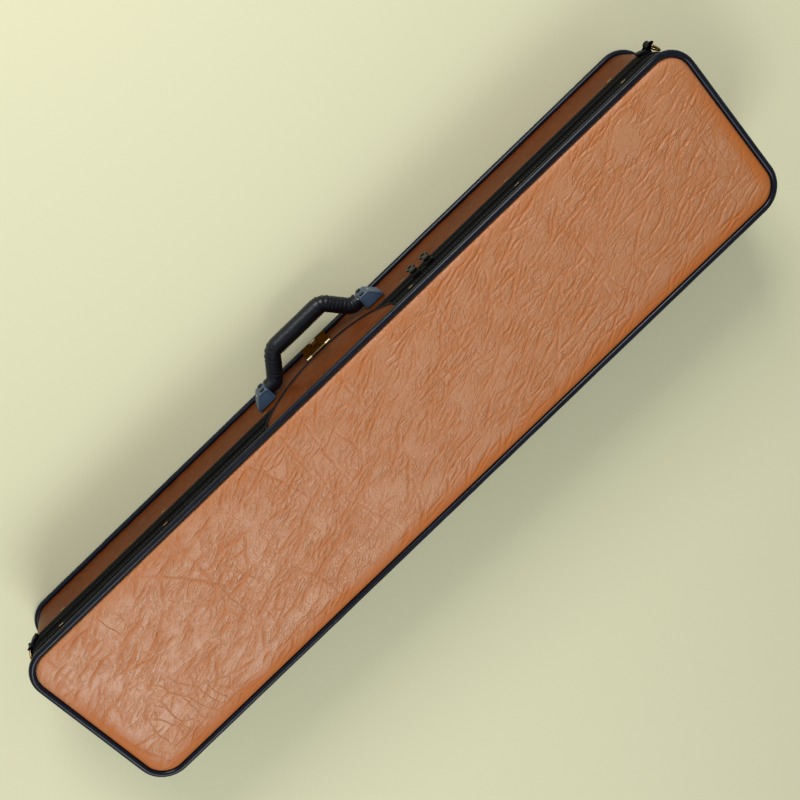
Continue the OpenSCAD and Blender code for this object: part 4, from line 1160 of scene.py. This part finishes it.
def end_pad_outline(lo, hi):
    """The pad that fills the lining's end: its outer corners follow the lining's radius."""
    radius = LINING_CORNER - 0.5 * MM
    x0, x1, y1 = lo[0] + BLOCK_GAP, hi[0] - BLOCK_GAP, hi[1] - BLOCK_GAP
    turn = np.linspace(math.asin(max(0, (radius - (hi[0] - x0)) / radius)), math.pi / 2, 8)
    cap = np.stack([x1 - radius + radius * np.sin(turn), y1 - radius + radius * np.cos(turn)], -1)
    upper, lower = cap[::-1], cap * [1, -1]
    right_y = np.linspace(lower[-1][1], upper[0][1], 40)[1:-1]
    left_y = np.linspace(upper[-1][1], lower[0][1], 50)[1:-1]
    right, left = (np.stack([np.full(len(y), x), y], -1) for x, y in ((x1, right_y), (x0, left_y)))
    return np.concatenate([lower, right, upper, left])


EVEN, SLIM = (3 * MM,) * 4, (1.5 * MM,) * 4
FOAM = {
    "foam_head_front": (LINING_CORNER, *EVEN[1:]), "foam_mid_front": EVEN, "foam_low_front": EVEN,
    "foam_head_rear": (*EVEN[1:], LINING_CORNER), "foam_mid_rear": EVEN, "foam_low_rear": EVEN,
    "soundbox_pad_front": SLIM, "soundbox_pad_rear": SLIM, "soundbox_pad_end": None,
}
for number, (node, radii) in enumerate(FOAM.items()):
    lo, hi = span(node)
    if radii:
        outline, edge = block_outline(lo, hi, radii), min(6 * MM, min(hi[0] - lo[0], hi[1] - lo[1]) * 0.28)
    else:
        outline, edge = end_pad_outline(lo, hi), 2.2 * MM
    block = pillow_block("plush_" + node, node, outline, lo[2] + 0.1 * MM, hi[2] - 1.2 * MM, edge, 1.0 * MM, PLUSH,
                         100 + number)


def neck_rest(name, node):
    """A neck rest: a plush block across the channel whose top is hollowed to the neck's curve; its section runs
    round as one closed line and draws in at both ends."""
    lo, hi = span(node)
    gap, edge, notch, depth, blend = 0.3 * MM, 3.5 * MM, 14 * MM, 2.5 * MM, 0.8 * MM
    half, length = (hi[1] - lo[1]) / 2 - gap, hi[0] - lo[0] - 2 * gap
    z0, z1, axis_z = lo[2] + 0.1 * MM, hi[2] - 0.3 * MM, lo[2] + 45 * MM
    y = np.linspace(-1, 1, 41) * half
    rim = z1 - edge + np.sqrt(np.clip(edge ** 2 - np.clip(np.abs(y) - (half - edge), 0, edge) ** 2, 0, None))
    hollow = np.where(np.abs(y) < notch, axis_z - np.sqrt(np.clip(notch ** 2 - y ** 2, 0, None)), 1.0)
    # the lower of the two, joined smoothly; the shift of 60 keeps the powers in range
    top = 60 * blend - np.log(np.exp(60 - rim / blend) + np.exp(60 - hollow / blend)) * blend
    side_z = np.linspace(z0 + 1 * MM, z1 - edge - 1 * MM, 8)
    floor_y = np.linspace(half - 1 * MM, -half + 1 * MM, 20)
    section = np.concatenate([np.stack(pair, -1) for pair in (
        (y, top), (np.full(8, half), side_z[::-1]), (floor_y, np.full(20, z0)), (np.full(8, -half), side_z))])
    opening, closing = np.linspace(0, math.pi / 2, 6), np.linspace(math.pi / 2, 0, 6)
    at = np.concatenate([[0], depth * (1 - np.cos(opening)), np.linspace(depth, length - depth, 10)[1:-1],
                         length - depth * (1 - np.cos(closing)), [length]])
    shrink = np.concatenate([[0], 0.9 + 0.1 * np.sin(opening), np.ones(8), 0.9 + 0.1 * np.sin(closing), [0]])
    middle = np.array([0, (z0 + z1) / 2])
    pts = middle + (section - middle)[None] * shrink[:, None, None]
    X = np.broadcast_to((lo[0] + gap + at)[:, None, None], (*pts.shape[:2], 1))
    obj = grid_object(name, np.concatenate([X, pts], -1), wrap_cols=True)
    finish_mesh(obj, PLUSH, "base", (node,))


neck_rest("plush_neck_rest_head", "neck_rest_head")
neck_rest("plush_neck_rest_low", "neck_rest_low")


def ribbon_tab():
    """The accessory box's pull: a flat ribbon laid on the cover and lifted at its free end."""
    lo, hi = span("accessory_tab")
    y = np.linspace(hi[1], lo[1], 24)
    x = np.linspace(lo[0] + 0.3 * MM, hi[0] - 0.3 * MM, 8)
    X, Y = np.meshgrid(x, y, indexing="ij")
    lift = 0.45 * MM * smooth_ramp((lo[1] + 9 * MM - Y) / (9 * MM))
    top = np.stack([X, Y, lo[2] + 0.45 * MM + lift], -1)
    low = np.stack([X, Y, lo[2] + 0.05 * MM + lift * 0.9], -1)
    loop = both_sides(top, low)
    obj = grid_object("accessory_ribbon", loop, wrap_cols=True, uv=loop[..., :2], cap_ends=True)
    finish_mesh(obj, TAPE, "box_cover", ("accessory_tab",))


ribbon_tab()


# ---------------------------------------------------------------- carried-over CAD nodes

for material, nodes in (
    (PLY, ("base_shell", "lid_shell")),
    (BRASS_DARKENED_AS_SHADE, ("lock_case", "hasp_plate")),
    (BRASS, ("strap_ring_left", "strap_ring_right", "bow_post_left", "bow_post_right")),
    (PALE_BRASS, ("hasp_leaf", "latch_knob", "base_staples", "lid_staples")),
    (STEEL, ("hasp_pin", "accessory_hinge_pin", "handle_pins")),
    (ENAMEL, ("slider_left", "slider_right", "pull_left", "pull_right", "handle_rivets")),
    (PLUSH, ("accessory_box", "accessory_cover")),
    (BUTTON, ("bow_button_left", "bow_button_right")),
):
    for node in nodes:
        repaint(node, material)


# ---------------------------------------------------------------- floor, light and camera

FLOOR_HALF = 6.0


def backdrop():
    """A plain pale floor, far wider than the view."""
    m = new_material("pale_floor", roughness=0.9, specular=0.1)
    tone = m.noise(m.coords(), 0.6, 2.0)
    m.join(m.mix(tone, (0.67, 0.65, 0.425, 1), (0.72, 0.695, 0.465, 1)),
           m.tree.nodes["Principled BSDF"].inputs["Base Color"])
    corners = np.array([(-1, -1, 0), (1, -1, 0), (1, 1, 0), (-1, 1, 0)]) * FLOOR_HALF
    floor = mesh_object("floor", corners, [[0, 1, 2, 3]])
    floor.data.materials.append(m.material)


def area_light(name, place, target, size, power, colour=(1, 1, 1)):
    light = bpy.data.lights.new(name, "AREA")
    light.shape, light.size, light.size_y = "RECTANGLE", size[0], size[1]
    light.energy, light.color = power, colour
    obj = bpy.data.objects.new(name, light)
    bpy.context.scene.collection.objects.link(obj)
    obj.location = place
    obj.rotation_euler = (Vector(target) - Vector(place)).to_track_quat("-Z", "Y").to_euler()


backdrop()
area_light("key_light", (-0.5, -1.7, 1.25), (0, 0, 0.1), (0.9, 0.9), 31)
area_light("gloss_light", (0.95, 0.75, 1.55), (0.25, 0, 0.1), (0.9, 0.7), 15, (0.94, 0.97, 1.0))
area_light("front_light", (0.5, -2.2, 0.6), (0, 0, 0.05), (1.6, 0.6), 3)

world = bpy.data.worlds.new("studio_air")
bpy.context.scene.world = world
world.use_nodes = True
world.node_tree.nodes["Background"].inputs["Color"].default_value = (0.90, 0.95, 1.0, 1)
world.node_tree.nodes["Background"].inputs["Strength"].default_value = 0.42
bpy.context.scene.view_settings.view_transform = "Standard"

camera_data = bpy.data.cameras.new("camera")
camera_data.lens, camera_data.sensor_width = 54, 36
camera = bpy.data.objects.new("camera", camera_data)
bpy.context.scene.collection.objects.link(camera)
RIGHT = (-0.7198481529, 0.6536430561, 0.2336009245)
DOWN = (0.6937543295, 0.6663974821, 0.2731653825)
AHEAD = (0.0228815875, 0.3586992487, -0.9331726967)
PLACE = (-0.03677, -0.43331, 1.17327)
camera.matrix_world = Matrix([(RIGHT[k], -DOWN[k], -AHEAD[k], PLACE[k]) for k in range(3)] + [(0, 0, 0, 1)])
bpy.context.scene.camera = camera
